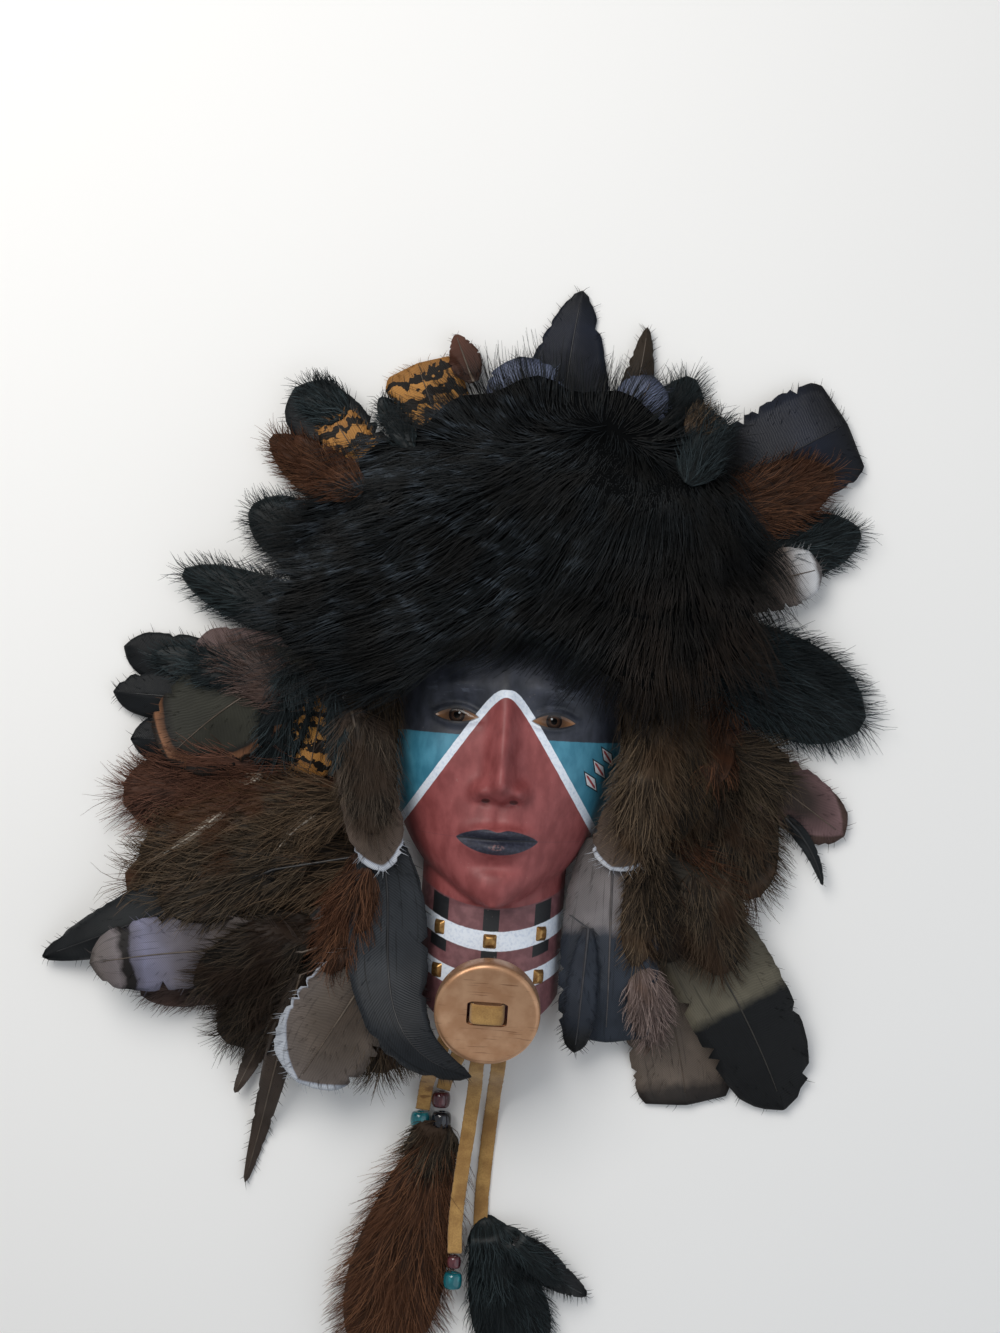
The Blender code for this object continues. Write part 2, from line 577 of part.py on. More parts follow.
class HeightMap:
    """How high the mask stands at each place, looked down on, so that what comes later lies on it."""

    def __init__(self):
        self.count = int(2 * MAP_HALF_SIDE / MAP_CELL)
        self.heights = np.zeros((self.count, self.count))

    def cells(self, values):
        """The cell numbers of coordinates along either side."""
        return np.clip(((np.asarray(values) + MAP_HALF_SIDE) / MAP_CELL).astype(int), 0, self.count - 1)

    def add(self, obj):
        """Raise the map to the top of an object, one cell wider all round."""
        graph = bpy.context.evaluated_depsgraph_get()
        mesh = obj.evaluated_get(graph).to_mesh()
        mesh.calc_loop_triangles()
        corners = np.array([obj.matrix_world @ vertex.co for vertex in mesh.vertices])
        for triangle in mesh.loop_triangles:
            self.stamp(corners[list(triangle.vertices)])

    def stamp(self, corners):
        """Raise the cells under one triangle."""
        low = self.cells(corners[:, :2].min(0)) - 1
        high = self.cells(corners[:, :2].max(0)) + 2
        low = np.maximum(low, 0)
        columns, rows = np.meshgrid(np.arange(low[0], high[0]), np.arange(low[1], high[1]), indexing="ij")
        x = (columns + 0.5) * MAP_CELL - MAP_HALF_SIDE
        y = (rows + 0.5) * MAP_CELL - MAP_HALF_SIDE
        (ax, ay, az), (bx, by, bz), (cx, cy, cz) = corners
        area = (bx - ax) * (cy - ay) - (cx - ax) * (by - ay)
        if abs(area) < 1e-12:
            return
        u = ((x - ax) * (cy - ay) - (cx - ax) * (y - ay)) / area
        v = ((bx - ax) * (y - ay) - (x - ax) * (by - ay)) / area
        spread = 1.5 * MAP_CELL
        near_u = spread * math.hypot(cx - ax, cy - ay) / abs(area)
        near_v = spread * math.hypot(bx - ax, by - ay) / abs(area)
        near_w = spread * math.hypot(cx - bx, cy - by) / abs(area)
        inside = (u > -near_u) & (v > -near_v) & (u + v < 1 + near_w)
        z = np.clip(az + u * (bz - az) + v * (cz - az), min(az, bz, cz), max(az, bz, cz))
        window = self.heights[low[0]:high[0], low[1]:high[1]]
        np.maximum(window, np.where(inside, z, 0.0), out=window)

    def highest(self, x, y):
        """The highest of the map at some places."""
        return float(self.heights[self.cells(x), self.cells(y)].max())

    def highest_near(self, x, y, reach):
        """The highest of the map within reach of one place."""
        column, row = int(self.cells(x)), int(self.cells(y))
        span = int(reach / MAP_CELL) + 1
        window = self.heights[max(column - span, 0):column + span + 1, max(row - span, 0):row + span + 1]
        return float(window.max())


def inside_head(x, y, gap):
    """Whether a place is on the ceramic, or nearer to it than the gap."""
    if y > CROWN_Y + gap or y < float(neck_end(x)) - gap:
        return False
    return abs(x) < float(outline_half_width(max(min(y, CROWN_Y - 0.001), NECK_END_Y))) + gap


def anchor_of(place):
    """Where a feather that shows from this place is set in the ceramic's edge."""
    aim = Vector((0.0, min(max(place.y * 0.7, -0.100), 0.050)))
    spot = place.copy()
    step = (aim - place).normalized() * 0.0005
    for _ in range(400):
        if inside_head(spot.x + step.x, spot.y + step.y, ROOT_GAP):
            return spot
        spot += step
    return spot


def feather_spine(feather):
    """The middle line's stations in plan, and the width at each."""
    form = FORMS[feather.form]
    root = Vector(feather.root) * MM
    tip = Vector(feather.tip) * MM
    side = Vector((-(tip - root).y, (tip - root).x)).normalized()
    line, widths = [], []
    if not feather.over:
        anchor = anchor_of(root)
        if (anchor - root).length > 0.006:
            line.append(anchor)
            widths.append(QUILL_WIDTH)
        else:
            root = anchor
    for t, share in zip(STATIONS, form.shares):
        bend = feather.bow * MM * 4 * t * (1 - t) * (1 + feather.late * (2 * t - 1))
        line.append(root.lerp(tip, t) + side * bend)
        widths.append(feather.width * MM * share)
    return line, widths


def feather_plan(feather):
    """Each station's middle and its two edges in plan, moved out until clear of the ceramic."""
    line, widths = feather_spine(feather)
    stations = []
    for i, middle in enumerate(line):
        ahead = (line[min(i + 1, len(line) - 1)] - line[max(i - 1, 0)]).normalized()
        side = Vector((-ahead.y, ahead.x)) * widths[i] / 2
        row = [middle - side, middle.copy(), middle + side]
        if not feather.over:
            for _ in range(120):
                if not any(inside_head(p.x, p.y, ROOT_GAP) for p in row):
                    break
                row = [p + ahead * 0.0005 for p in row]
        stations.append(row)
    return stations


def lay_heights(stations, height_map, start):
    """How high each station lies: clear of all below it, and never steeper than a feather bends."""
    strips = []
    for near, far in zip(stations, stations[1:]):
        x, y = [], []
        for along in np.linspace(0, 1, 16):
            left, right = near[0].lerp(far[0], along), near[2].lerp(far[2], along)
            for across in np.linspace(0, 1, 24):
                spot = left.lerp(right, across)
                x.append(spot.x)
                y.append(spot.y)
        strips.append(height_map.highest(x, y))
    heights = [strips[0], *(max(a, b) for a, b in zip(strips, strips[1:])), strips[-1]]
    heights = [max(h + LAY_GAP, start) for h in heights]
    steps = [(b[1] - a[1]).length for a, b in zip(stations, stations[1:])]
    for order in (range(1, len(heights)), range(len(heights) - 2, -1, -1)):
        for i in order:
            other = i - 1 if order.step == 1 else i + 1
            heights[i] = max(heights[i], heights[other] - LAY_SLOPE * steps[min(i, other)])
    return heights


def build_feather(feather, height_map, parts, parent):
    """One feather as a thin or downy body laid on what is under it."""
    form = FORMS[feather.form]
    stations = feather_plan(feather)
    heights = lay_heights(stations, height_map, GAP * 2)
    count = len(stations)
    work = bmesh.new()
    bmesh.ops.create_grid(work, x_segments=2, y_segments=count - 1, size=1.0)
    thickness = {}
    for vertex in work.verts:
        column = round(vertex.co.x + 1)
        row = round((vertex.co.y + 1) / 2 * (count - 1))
        spot = stations[row][column]
        middle = column == 1
        along = row / (count - 1)
        thick = form.middle_thickness if middle else form.edge_thickness
        if form.camber == 0.0:
            thick *= 0.55 + 0.45 * math.sin(math.pi * min(max(along, 0.12), 0.93))
        vertex.co = (spot.x, spot.y, heights[row] + (form.camber * MM if middle else 0.0))
        thickness[vertex] = thick * MM
    under = list(work.verts)
    grown = bmesh.ops.extrude_face_region(work, geom=list(work.faces), use_keep_orig=True)
    tops = [item for item in grown["geom"] if isinstance(item, bmesh.types.BMVert)]
    below = {(round(v.co.x, 7), round(v.co.y, 7)): thickness[v] for v in under}
    for vertex in tops:
        vertex.co.z += below[(round(vertex.co.x, 7), round(vertex.co.y, 7))]
    mesh = mesh_from(feather.name, work)
    colour = COLOURS[feather.colour]
    obj = add_object(feather.name, mesh, parts, parent, new_material(f"paint_{feather.name}", colour, 0.75))
    height_map.add(obj)
    return obj


def fur_reach(degrees):
    """How far the fur cap reaches in one direction, with its locks."""
    angles, reaches = zip(*FUR_REACH)
    plain = float(np.interp(degrees % 360, angles, reaches)) * MM
    return plain * (1 + FUR_LOCK_DEPTH * math.sin(math.radians(degrees * FUR_LOCKS)))


def build_fur_cap(height_map, parts, parent):
    """The fur cap: a thick round sheet of locks laid over the crown, the brow and the feathers' roots."""
    work = bmesh.new()
    middle = Vector(FUR_MIDDLE)
    rings = []
    for share in FUR_RINGS:
        ring = []
        for sector in range(FUR_SECTORS if share else 1):
            degrees = 360 * sector / FUR_SECTORS
            reach = fur_reach(degrees) * share
            x = middle.x + reach * math.cos(math.radians(degrees))
            y = middle.y + reach * math.sin(math.radians(degrees))
            ring.append(work.verts.new((x, y, 0.0)))
        rings.append(ring)
    hub = rings[0][0]
    for sector in range(FUR_SECTORS):
        after = (sector + 1) % FUR_SECTORS
        work.faces.new((hub, rings[1][sector], rings[1][after]))
        for inner, outer in zip(rings[1:], rings[2:]):
            work.faces.new((inner[sector], outer[sector], outer[after], inner[after]))
    thickness = {}
    for number, (share, ring) in enumerate(zip(FUR_RINGS, rings)):
        for sector, vertex in enumerate(ring):
            around = max((edge.calc_length() for edge in vertex.link_edges), default=0.0)
            vertex.co.z = 0.0
            thick = FUR_EDGE_THICKNESS + (FUR_MIDDLE_THICKNESS - FUR_EDGE_THICKNESS) * (1 - share**3)
            ripple = 1 + FUR_RIPPLE * share * math.sin(math.radians(360 * sector / FUR_SECTORS * FUR_LOCKS) + number)
            thickness[vertex] = thick * ripple
            vertex.co.z = height_map.highest_near(vertex.co.x, vertex.co.y, around * 0.75) + LAY_GAP
    below = {(round(v.co.x, 7), round(v.co.y, 7)): t for v, t in thickness.items()}
    grown = bmesh.ops.extrude_face_region(work, geom=list(work.faces), use_keep_orig=True)
    for item in grown["geom"]:
        if isinstance(item, bmesh.types.BMVert):
            item.co.z += below[(round(item.co.x, 7), round(item.co.y, 7))]
    mesh = mesh_from("fur_cap", work)
    return add_object("fur_cap", mesh, parts, parent, new_material("black_fur", (0.010, 0.011, 0.014), 0.6))


def move_to_origin(parts, parent, hanging):
    """Bring the middle of the box of all but the hanging pieces over the origin."""
    graph = bpy.context.evaluated_depsgraph_get()
    corners = []
    for obj in parts.objects:
        if obj in hanging:
            continue
        mesh = obj.evaluated_get(graph).to_mesh()
        corners += [obj.matrix_world @ vertex.co for vertex in mesh.vertices]
    places = np.array(corners)
    middle = (places.min(0) + places.max(0)) / 2
    parent.location = (-middle[0], -middle[1], -places.min(0)[2])


def main():
    """Build the mask from the ceramic outwards."""
    clear_scene()
    parts = new_collection("Feathered mask")
    cutters = new_collection("Mask cutters")
    parent = bpy.data.objects.new("mask_place", None)
    bpy.context.scene.collection.objects.link(parent)

    shell = build_shell(parts, cutters, parent)
    seat = bpy.data.objects.new("disc_seat", None)
    bpy.context.scene.collection.objects.link(seat)
    seat.parent = parent
    seat.location = (DISC_OFFSET_X, DISC_Y, SEAT_Z)
    seat.rotation_euler = (DISC_LEAN, 0.0, 0.0)
    disc = build_disc(parts, cutters, seat)
    bridge = build_bridge(parts, seat)
    hanging = build_laces(parts, parent)
    hanging += build_beads(parts, parent)
    bpy.context.view_layer.update()

    head_map = HeightMap()
    for obj in (shell, disc, bridge):
        head_map.add(obj)
    feather_map = HeightMap()
    for feather in FEATHERS:
        if feather.over:
            np.maximum(feather_map.heights, head_map.heights, out=feather_map.heights)
        build_feather(feather, feather_map, parts, parent)
    build_fur_cap(feather_map, parts, parent)
    plume_map = HeightMap()
    for plume in PLUMES:
        hanging.append(build_feather(plume, plume_map, parts, parent))
    move_to_origin(parts, parent, hanging)


main()
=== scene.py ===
"""Looks of the feathered mask: painted ceramic, fur cap, feathers, throat disc, laces, beads and plumes.

Tables give places in millimetres from the middle of the face on the line of the eyes, as the part's source
does. The function at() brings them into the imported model's frame, which is in metres.
"""

import logging
import math
from collections.abc import Sequence
from dataclasses import dataclass
from enum import Enum
from functools import cache

import bmesh
import bpy
import numpy as np
from bmesh.types import BMesh, BMVert
from bpy.types import Material, Mesh, Node, NodeSocket as Socket, NodeTree, Object
from mathutils import Matrix, Vector
from mathutils.bvhtree import BVHTree


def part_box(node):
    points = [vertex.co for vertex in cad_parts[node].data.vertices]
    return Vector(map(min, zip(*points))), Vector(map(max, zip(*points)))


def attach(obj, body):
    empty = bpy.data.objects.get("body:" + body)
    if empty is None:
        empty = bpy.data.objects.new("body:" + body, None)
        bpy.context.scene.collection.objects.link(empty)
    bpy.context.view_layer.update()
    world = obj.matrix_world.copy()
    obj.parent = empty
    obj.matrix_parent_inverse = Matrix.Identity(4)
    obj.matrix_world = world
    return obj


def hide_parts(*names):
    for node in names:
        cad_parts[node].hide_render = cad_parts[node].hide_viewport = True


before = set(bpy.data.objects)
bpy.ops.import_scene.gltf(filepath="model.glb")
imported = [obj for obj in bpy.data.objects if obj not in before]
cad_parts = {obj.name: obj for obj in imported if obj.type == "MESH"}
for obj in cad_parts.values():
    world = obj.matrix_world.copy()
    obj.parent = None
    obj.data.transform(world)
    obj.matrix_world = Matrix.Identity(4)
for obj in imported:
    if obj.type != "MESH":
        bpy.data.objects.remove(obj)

LOG = logging.getLogger("feathered_mask")
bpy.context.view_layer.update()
MM = 0.001
ROOT = "root"
CROWN_TO_MIDDLE = 0.083
CLEAR_OF_GROUND = 0.0005
Colour = tuple[float, float, float]
Judged = tuple[int, int, int]
Field = np.ndarray


def middle_of_face() -> Vector:
    """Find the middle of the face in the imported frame, on the line of the eyes, from the ceramic's box."""
    low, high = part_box("mask_shell")
    return Vector(((low.x + high.x) / 2, high.y - CROWN_TO_MIDDLE, 0.0))


MIDDLE = middle_of_face()


def at(x: float, y: float, z: float = 0.0) -> Vector:
    """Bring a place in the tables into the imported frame.

    Args:
        x: Millimetres to the viewer's right of the face's middle.
        y: Millimetres towards the crown.
        z: Millimetres above the ground that the mask lies on.

    Returns:
        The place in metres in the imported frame.
    """
    return MIDDLE + Vector((x, y, z)) * MM


def shade(red: int, green: int, blue: int) -> Colour:
    """Turn a colour judged on the usual 0 to 255 scale into a linear one.

    Args:
        red: Red share, 0 to 255.
        green: Green share, 0 to 255.
        blue: Blue share, 0 to 255.

    Returns:
        The same colour as linear shares of one.
    """
    shares = [value / 255 for value in (red, green, blue)]
    return tuple(s / 12.92 if s <= 0.04045 else ((s + 0.055) / 1.055) ** 2.4 for s in shares)


class Solids:
    """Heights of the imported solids, read straight down and straight up, in metres."""

    UNDERLAY = 0.006
    LAYER = 0.0022

    def __init__(self) -> None:
        """Start with no solid read."""
        self.trees: dict[str, BVHTree] = {}

    def tree(self, node: str = "") -> BVHTree:
        """Read the faces of one solid, or of all of them, once.

        Args:
            node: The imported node's name, or nothing for all the solids.

        Returns:
            The faces, ready for rays.
        """
        if node not in self.trees:
            points, faces = [], []
            for solid in [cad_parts[node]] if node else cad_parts.values():
                start = len(points)
                points += [vertex.co.copy() for vertex in solid.data.vertices]
                faces += [tuple(start + v for v in face.vertices) for face in solid.data.polygons]
            self.trees[node] = BVHTree.FromPolygons(points, faces)
        return self.trees[node]

    @staticmethod
    def met(tree: BVHTree, x: float, y: float, way: float = -1.0) -> Vector | None:
        """Find the point met first from high above, or from far below where the way is 1."""
        return tree.ray_cast(Vector((x, y, -way)), Vector((0.0, 0.0, way)))[0]

    def top(self, x: float, y: float, other: float) -> float:
        """Find the height of whatever lies highest at one place in plan.

        Args:
            x: Place across, in metres.
            y: Place along, in metres.
            other: What to give where nothing lies.

        Returns:
            The height.
        """
        found = self.met(self.tree(), x, y)
        return other if found is None else found.z

    def hits(self, node: str, x: float, y: float) -> bool:
        """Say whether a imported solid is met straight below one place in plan."""
        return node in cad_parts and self.met(self.tree(node), x, y) is not None

    def span(self, node: str, x: float, y: float) -> tuple[float, float]:
        """Find the lowest and highest of a solid at one place in plan, or beside it where it is missed.

        Args:
            node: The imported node's name.
            x: Place across, in metres.
            y: Place along, in metres.

        Returns:
            The two heights, or those of a thin layer over everything where no such node is packed.
        """
        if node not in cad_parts:
            top = self.top(x, y, self.UNDERLAY)
            return top, top + self.LAYER
        tree = self.tree(node)
        down = self.met(tree, x, y)
        if down is None:
            low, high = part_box(node)
            near = tree.find_nearest(Vector((x, y, (low.z + high.z) / 2)))[0]
            return near.z, near.z
        return self.met(tree, x, y, 1.0).z, down.z


SOLIDS = Solids()


class Graph:
    """Short hand for adding and joining nodes in one tree."""

    def __init__(self, tree: NodeTree) -> None:
        """Keep the tree.

        Args:
            tree: A material's or a modifier's node tree.
        """
        self.tree = tree

    def add(self, kind: str, inputs: dict | None = None, **settings: object) -> Node:
        """Add a node, set its own settings, then link or set its inputs.

        Args:
            kind: The node's type name.
            inputs: Input names or numbers with a socket to link or a plain value to set.
            **settings: The node's own settings.

        Returns:
            The new node.
        """
        node = self.tree.nodes.new(kind)
        for key, value in settings.items():
            setattr(node, key, value)
        for key, value in (inputs or {}).items():
            self.give(node.inputs[key], value)
        return node

    def give(self, socket: Socket, value: object) -> None:
        """Link an input, or set it to a plain value.

        Args:
            socket: The input.
            value: A term, an output, or a plain value, which is three shares where the input takes a colour.
        """
        if isinstance(value, Term):
            value = value.socket
        if isinstance(value, Socket):
            self.tree.links.new(value, socket)
        else:
            socket.default_value = (*value, 1.0) if socket.type == "RGBA" else value

    def math(self, operation: str, *values: object) -> Socket:
        """Add a Math node and give its result."""
        return self.add("ShaderNodeMath", dict(enumerate(values)), operation=operation).outputs[0]

    def vector(self, operation: str, *values: object) -> Socket:
        """Add a Vector Math node and give its result."""
        return self.add("ShaderNodeVectorMath", dict(enumerate(values)), operation=operation).outputs[0]

    def scaled(self, vector: Socket, scale: object) -> Socket:
        """Scale a vector."""
        return self.add("ShaderNodeVectorMath", {0: vector, "Scale": scale}, operation="SCALE").outputs[0]


class Term:
    """A number inside a material, with plain arithmetic that adds Math nodes."""

    def __init__(self, graph: Graph, socket: Socket) -> None:
        """Keep the socket that gives the number.

        Args:
            graph: The tree that it is in.
            socket: The output that gives it.
        """
        self.graph = graph
        self.socket = socket

    def math(self, operation: str, *others: "Term | float") -> "Term":
        """Add one Math node.

        Args:
            operation: The node's operation.
            *others: The further numbers that it takes.

        Returns:
            The node's result.
        """
        return Term(self.graph, self.graph.math(operation, self, *others))

    def __add__(self, other: "Term | float") -> "Term":
        """Add."""
        return self.math("ADD", other)

    def __sub__(self, other: "Term | float") -> "Term":
        """Take away."""
        return self.math("SUBTRACT", other)

    def __mul__(self, other: "Term | float") -> "Term":
        """Multiply."""
        return self.math("MULTIPLY", other)

    def __truediv__(self, other: "Term | float") -> "Term":
        """Divide."""
        return self.math("DIVIDE", other)

    def __neg__(self) -> "Term":
        """Turn the sign."""
        return self * -1.0

    def size(self) -> "Term":
        """Drop the sign."""
        return self.math("ABSOLUTE")

    def least(self, other: "Term | float") -> "Term":
        """Take the smaller of two."""
        return self.math("MINIMUM", other)

    def most(self, other: "Term | float") -> "Term":
        """Take the larger of two."""
        return self.math("MAXIMUM", other)

    def power(self, exponent: float) -> "Term":
        """Raise to a power."""
        return self.math("POWER", exponent)

    def rise(self, low: float, high: float) -> "Term":
        """Go smoothly from 0 at one value to 1 at another.

        Args:
            low: Where it starts to rise.
            high: Where it reaches one.

        Returns:
            The share, between 0 and 1.
        """
        ranges = {"Value": self.socket, "From Min": low, "From Max": high}
        node = self.graph.add("ShaderNodeMapRange", ranges, interpolation_type="SMOOTHSTEP")
        return Term(self.graph, node.outputs[0])

    def within(self, middle: float, half: float, soft: float) -> "Term":
        """Be one inside a band and zero outside.

        Args:
            middle: The band's middle.
            half: Half its width.
            soft: How wide each soft edge is.

        Returns:
            The share, between 0 and 1.
        """
        return (-((self - middle).size()) + half).rise(-soft / 2, soft / 2)


Tint = Colour | Socket


class Paint(Graph):
    """A material's nodes, with the few kinds that the mask's finishes share."""

    def __init__(self, name: str) -> None:
        """Start a material that holds one Principled shader.

        Args:
            name: The material's name.
        """
        self.material = bpy.data.materials.new(name)
        self.material.use_nodes = True
        super().__init__(self.material.node_tree)
        self.shader = self.tree.nodes["Principled BSDF"]
        self.coordinates = self.add("ShaderNodeTexCoord").outputs["Object"]

    def place(self) -> tuple[Term, Term, Term]:
        """Give the point's place in millimetres from the middle of the face."""
        scaled = self.scaled(self.vector("SUBTRACT", self.coordinates, MIDDLE), 1 / MM)
        parts = self.add("ShaderNodeSeparateXYZ", {0: scaled})
        return tuple(Term(self, output) for output in parts.outputs)

    def attribute(self, name: str) -> tuple[Term, Term, Term, Term]:
        """Read an attribute of the mesh.

        Args:
            name: The attribute's name.

        Returns:
            Its first, second and third number, and its value as one number.
        """
        node = self.add("ShaderNodeAttribute", attribute_name=name)
        parts = self.add("ShaderNodeSeparateXYZ", {0: node.outputs["Vector"]})
        sockets = [*parts.outputs, node.outputs["Fac"]]
        return tuple(Term(self, socket) for socket in sockets)

    def attribute_vector(self, name: str) -> Socket:
        """Read an attribute of the mesh as a vector."""
        return self.add("ShaderNodeAttribute", attribute_name=name).outputs["Vector"]

    def noise(self, size: float, detail: float = 2.0, stretch: Sequence[float] = (1.0, 1.0, 1.0),
              over: Socket | None = None) -> Term:
        """Make a cloud-like pattern.

        Args:
            size: How far apart its clouds are, in millimetres.
            detail: How many finer layers it has.
            stretch: How many times closer together they are on each axis.
            over: Other coordinates to lay it over, in which case the size is in their own unit.

        Returns:
            A number around a half.
        """
        spaced = self.add("ShaderNodeMapping", {"Vector": over or self.coordinates, "Scale": tuple(stretch)})
        inputs = {"Vector": spaced.outputs[0], "Scale": 1 / (size * (1.0 if over else MM)), "Detail": detail}
        return Term(self, self.add("ShaderNodeTexNoise", inputs).outputs[0])

    def mix(self, share: Term | float, first: Tint, second: Tint, blend: str = "MIX") -> Socket:
        """Mix two colours.

        Args:
            share: How much of the second there is.
            first: The first colour.
            second: The second colour.
            blend: The way that they mix.

        Returns:
            The mixed colour.
        """
        node = self.add("ShaderNodeMix", data_type="RGBA", blend_type=blend)
        for number, value in ((0, share), (6, first), (7, second)):
            self.give(node.inputs[number], value)
        return node.outputs[2]

    def ramp(self, share: Term, stops: Sequence[tuple[float, Colour]], hard: bool = False) -> Socket:
        """Turn a number into a colour by stops.

        Args:
            share: The number, 0 to 1.
            stops: Where each colour stands.
            hard: Whether each colour holds until the next stop.

        Returns:
            The colour.
        """
        node = self.add("ShaderNodeValToRGB", {0: share})
        ramp = node.color_ramp
        ramp.interpolation = "CONSTANT" if hard else "LINEAR"
        while len(ramp.elements) < len(stops):
            ramp.elements.new(1.0)
        for element, (position, colour) in zip(ramp.elements, stops):
            element.position = position
            element.color = (*colour, 1.0)
        return node.outputs[0]

    def bump(self, height: Term, depth: float, strength: float = 1.0) -> None:
        """Tilt the shading by a relief.

        Args:
            height: The relief, 0 to 1.
            depth: Its depth in millimetres.
            strength: How much of it shows.
        """
        node = self.add("ShaderNodeBump", {"Height": height, "Distance": depth * MM, "Strength": strength})
        self.set("Normal", node.outputs[0])

    def set(self, name: str, value: Tint | Term | float) -> None:
        """Link or set one of the shader's inputs."""
        self.give(self.shader.inputs[name], value)


class StrandTree(Graph):
    """Geometry Nodes that grow tapered strands over a body, each following the body's flow attribute."""

    INPUTS = {
        "Per square metre": "Float", "Seed": "Int", "Length": "Float", "Spread": "Float",
        "Thickness": "Float", "Lift": "Float", "Stray": "Float", "Clump": "Float",
        "Clump scale": "Float", "Strand finish": "Material",
    }
    RISE_FROM_ROOT_TO_TIP = (1.0, -0.8)
    LOWEST = (-9.0, -9.0, CLEAR_OF_GROUND)
    TONE_SEED = 7
    TAPER = 0.75

    def __init__(self, steps: int) -> None:
        """Build the tree with its named inputs.

        Args:
            steps: How many straight runs a strand has.
        """
        super().__init__(bpy.data.node_groups.new(f"strands_of_{steps}_runs", "GeometryNodeTree"))
        self.steps = steps
        face = self.tree.interface
        face.new_socket(name="Body", in_out="INPUT", socket_type="NodeSocketGeometry")
        for name, kind in self.INPUTS.items():
            face.new_socket(name=name, in_out="INPUT", socket_type=f"NodeSocket{kind}")
        face.new_socket(name="Geometry", in_out="OUTPUT", socket_type="NodeSocketGeometry")
        self.given = self.add("NodeGroupInput").outputs
        points = self.scatter()
        curves = self.draw(points)
        joined = self.add("GeometryNodeJoinGeometry")
        self.tree.links.new(self.given["Body"], joined.inputs[0])
        self.tree.links.new(curves, joined.inputs[0])
        self.add("NodeGroupOutput", {0: joined.outputs[0]})

    def named(self, name: str, kind: str = "FLOAT") -> Socket:
        """Read an attribute of the geometry at hand.

        Args:
            name: The attribute's name.
            kind: Its data type.

        Returns:
            The attribute as a field.
        """
        return self.add("GeometryNodeInputNamedAttribute", {"Name": name}, data_type=kind).outputs[0]

    def store(self, geometry: object, name: str, value: object, kind: str) -> Socket:
        """Store an attribute on the points.

        Args:
            geometry: The points or curves.
            name: The attribute's name.
            value: The field to store.
            kind: Its data type.

        Returns:
            The geometry with the attribute.
        """
        inputs = {"Geometry": geometry, "Name": name, "Value": value}
        node = self.add("GeometryNodeStoreNamedAttribute", inputs, data_type=kind, domain="POINT")
        return node.outputs[0]

    def chance(self, seed: object) -> Socket:
        """Give each strand a number of its own between 0 and 1."""
        inputs = {2: 0.0, 3: 1.0, "Seed": seed}
        return self.add("FunctionNodeRandomValue", inputs, data_type="FLOAT").outputs[1]

    def scatter(self) -> Socket:
        """Set strand roots over the body, and work out the way that each strand takes.

        Returns:
            Points that carry the strand's places as way_0, way_1 and so on.
        """
        given = self.given
        density = self.math("MULTIPLY", given["Per square metre"], self.named("cover"))
        inputs = {"Mesh": given["Body"], "Density": density, "Seed": given["Seed"]}
        roots = self.add("GeometryNodeDistributePointsOnFaces", inputs)
        shrink = self.math("MULTIPLY", self.chance(given["Seed"]), given["Spread"])
        share = self.math("SUBTRACT", 1.0, shrink)
        length = self.math("MULTIPLY", self.math("MULTIPLY", given["Length"], share), self.named("reach"))
        step = self.math("DIVIDE", length, float(self.steps))
        low, high = (-1.0, -1.0, -1.0), (1.0, 1.0, 1.0)
        stray = self.add("FunctionNodeRandomValue", {0: low, 1: high}, data_type="FLOAT_VECTOR")
        wander = self.scaled(stray.outputs[0], given["Stray"])
        here = self.add("GeometryNodeInputPosition").outputs[0]
        ways = [here]
        for lift in np.linspace(*self.RISE_FROM_ROOT_TO_TIP, self.steps):
            lie = self.named("flow", "FLOAT_VECTOR")
            nearest = {"Mesh": given["Body"], "Value": lie, "Sample Position": here}
            flow = self.add("GeometryNodeSampleNearestSurface", nearest, data_type="FLOAT_VECTOR").outputs[0]
            cloud = self.add("ShaderNodeTexNoise", {"Vector": here, "Scale": given["Clump scale"]})
            turned = self.vector("SUBTRACT", cloud.outputs[1], (0.5, 0.5, 0.5))
            clump = self.scaled(turned, given["Clump"])
            rise = self.scaled(roots.outputs["Normal"], self.math("MULTIPLY", given["Lift"], lift))
            aim = self.vector("ADD", self.vector("ADD", flow, clump), self.vector("ADD", wander, rise))
            here = self.vector("ADD", here, self.scaled(self.vector("NORMALIZE", aim), step))
            here = self.vector("MAXIMUM", here, self.LOWEST)
            ways.append(here)
        points = roots.outputs["Points"]
        for number, way in enumerate(ways):
            points = self.store(points, f"way_{number}", way, "FLOAT_VECTOR")
        return self.store(points, "tone", self.chance(self.TONE_SEED), "FLOAT")

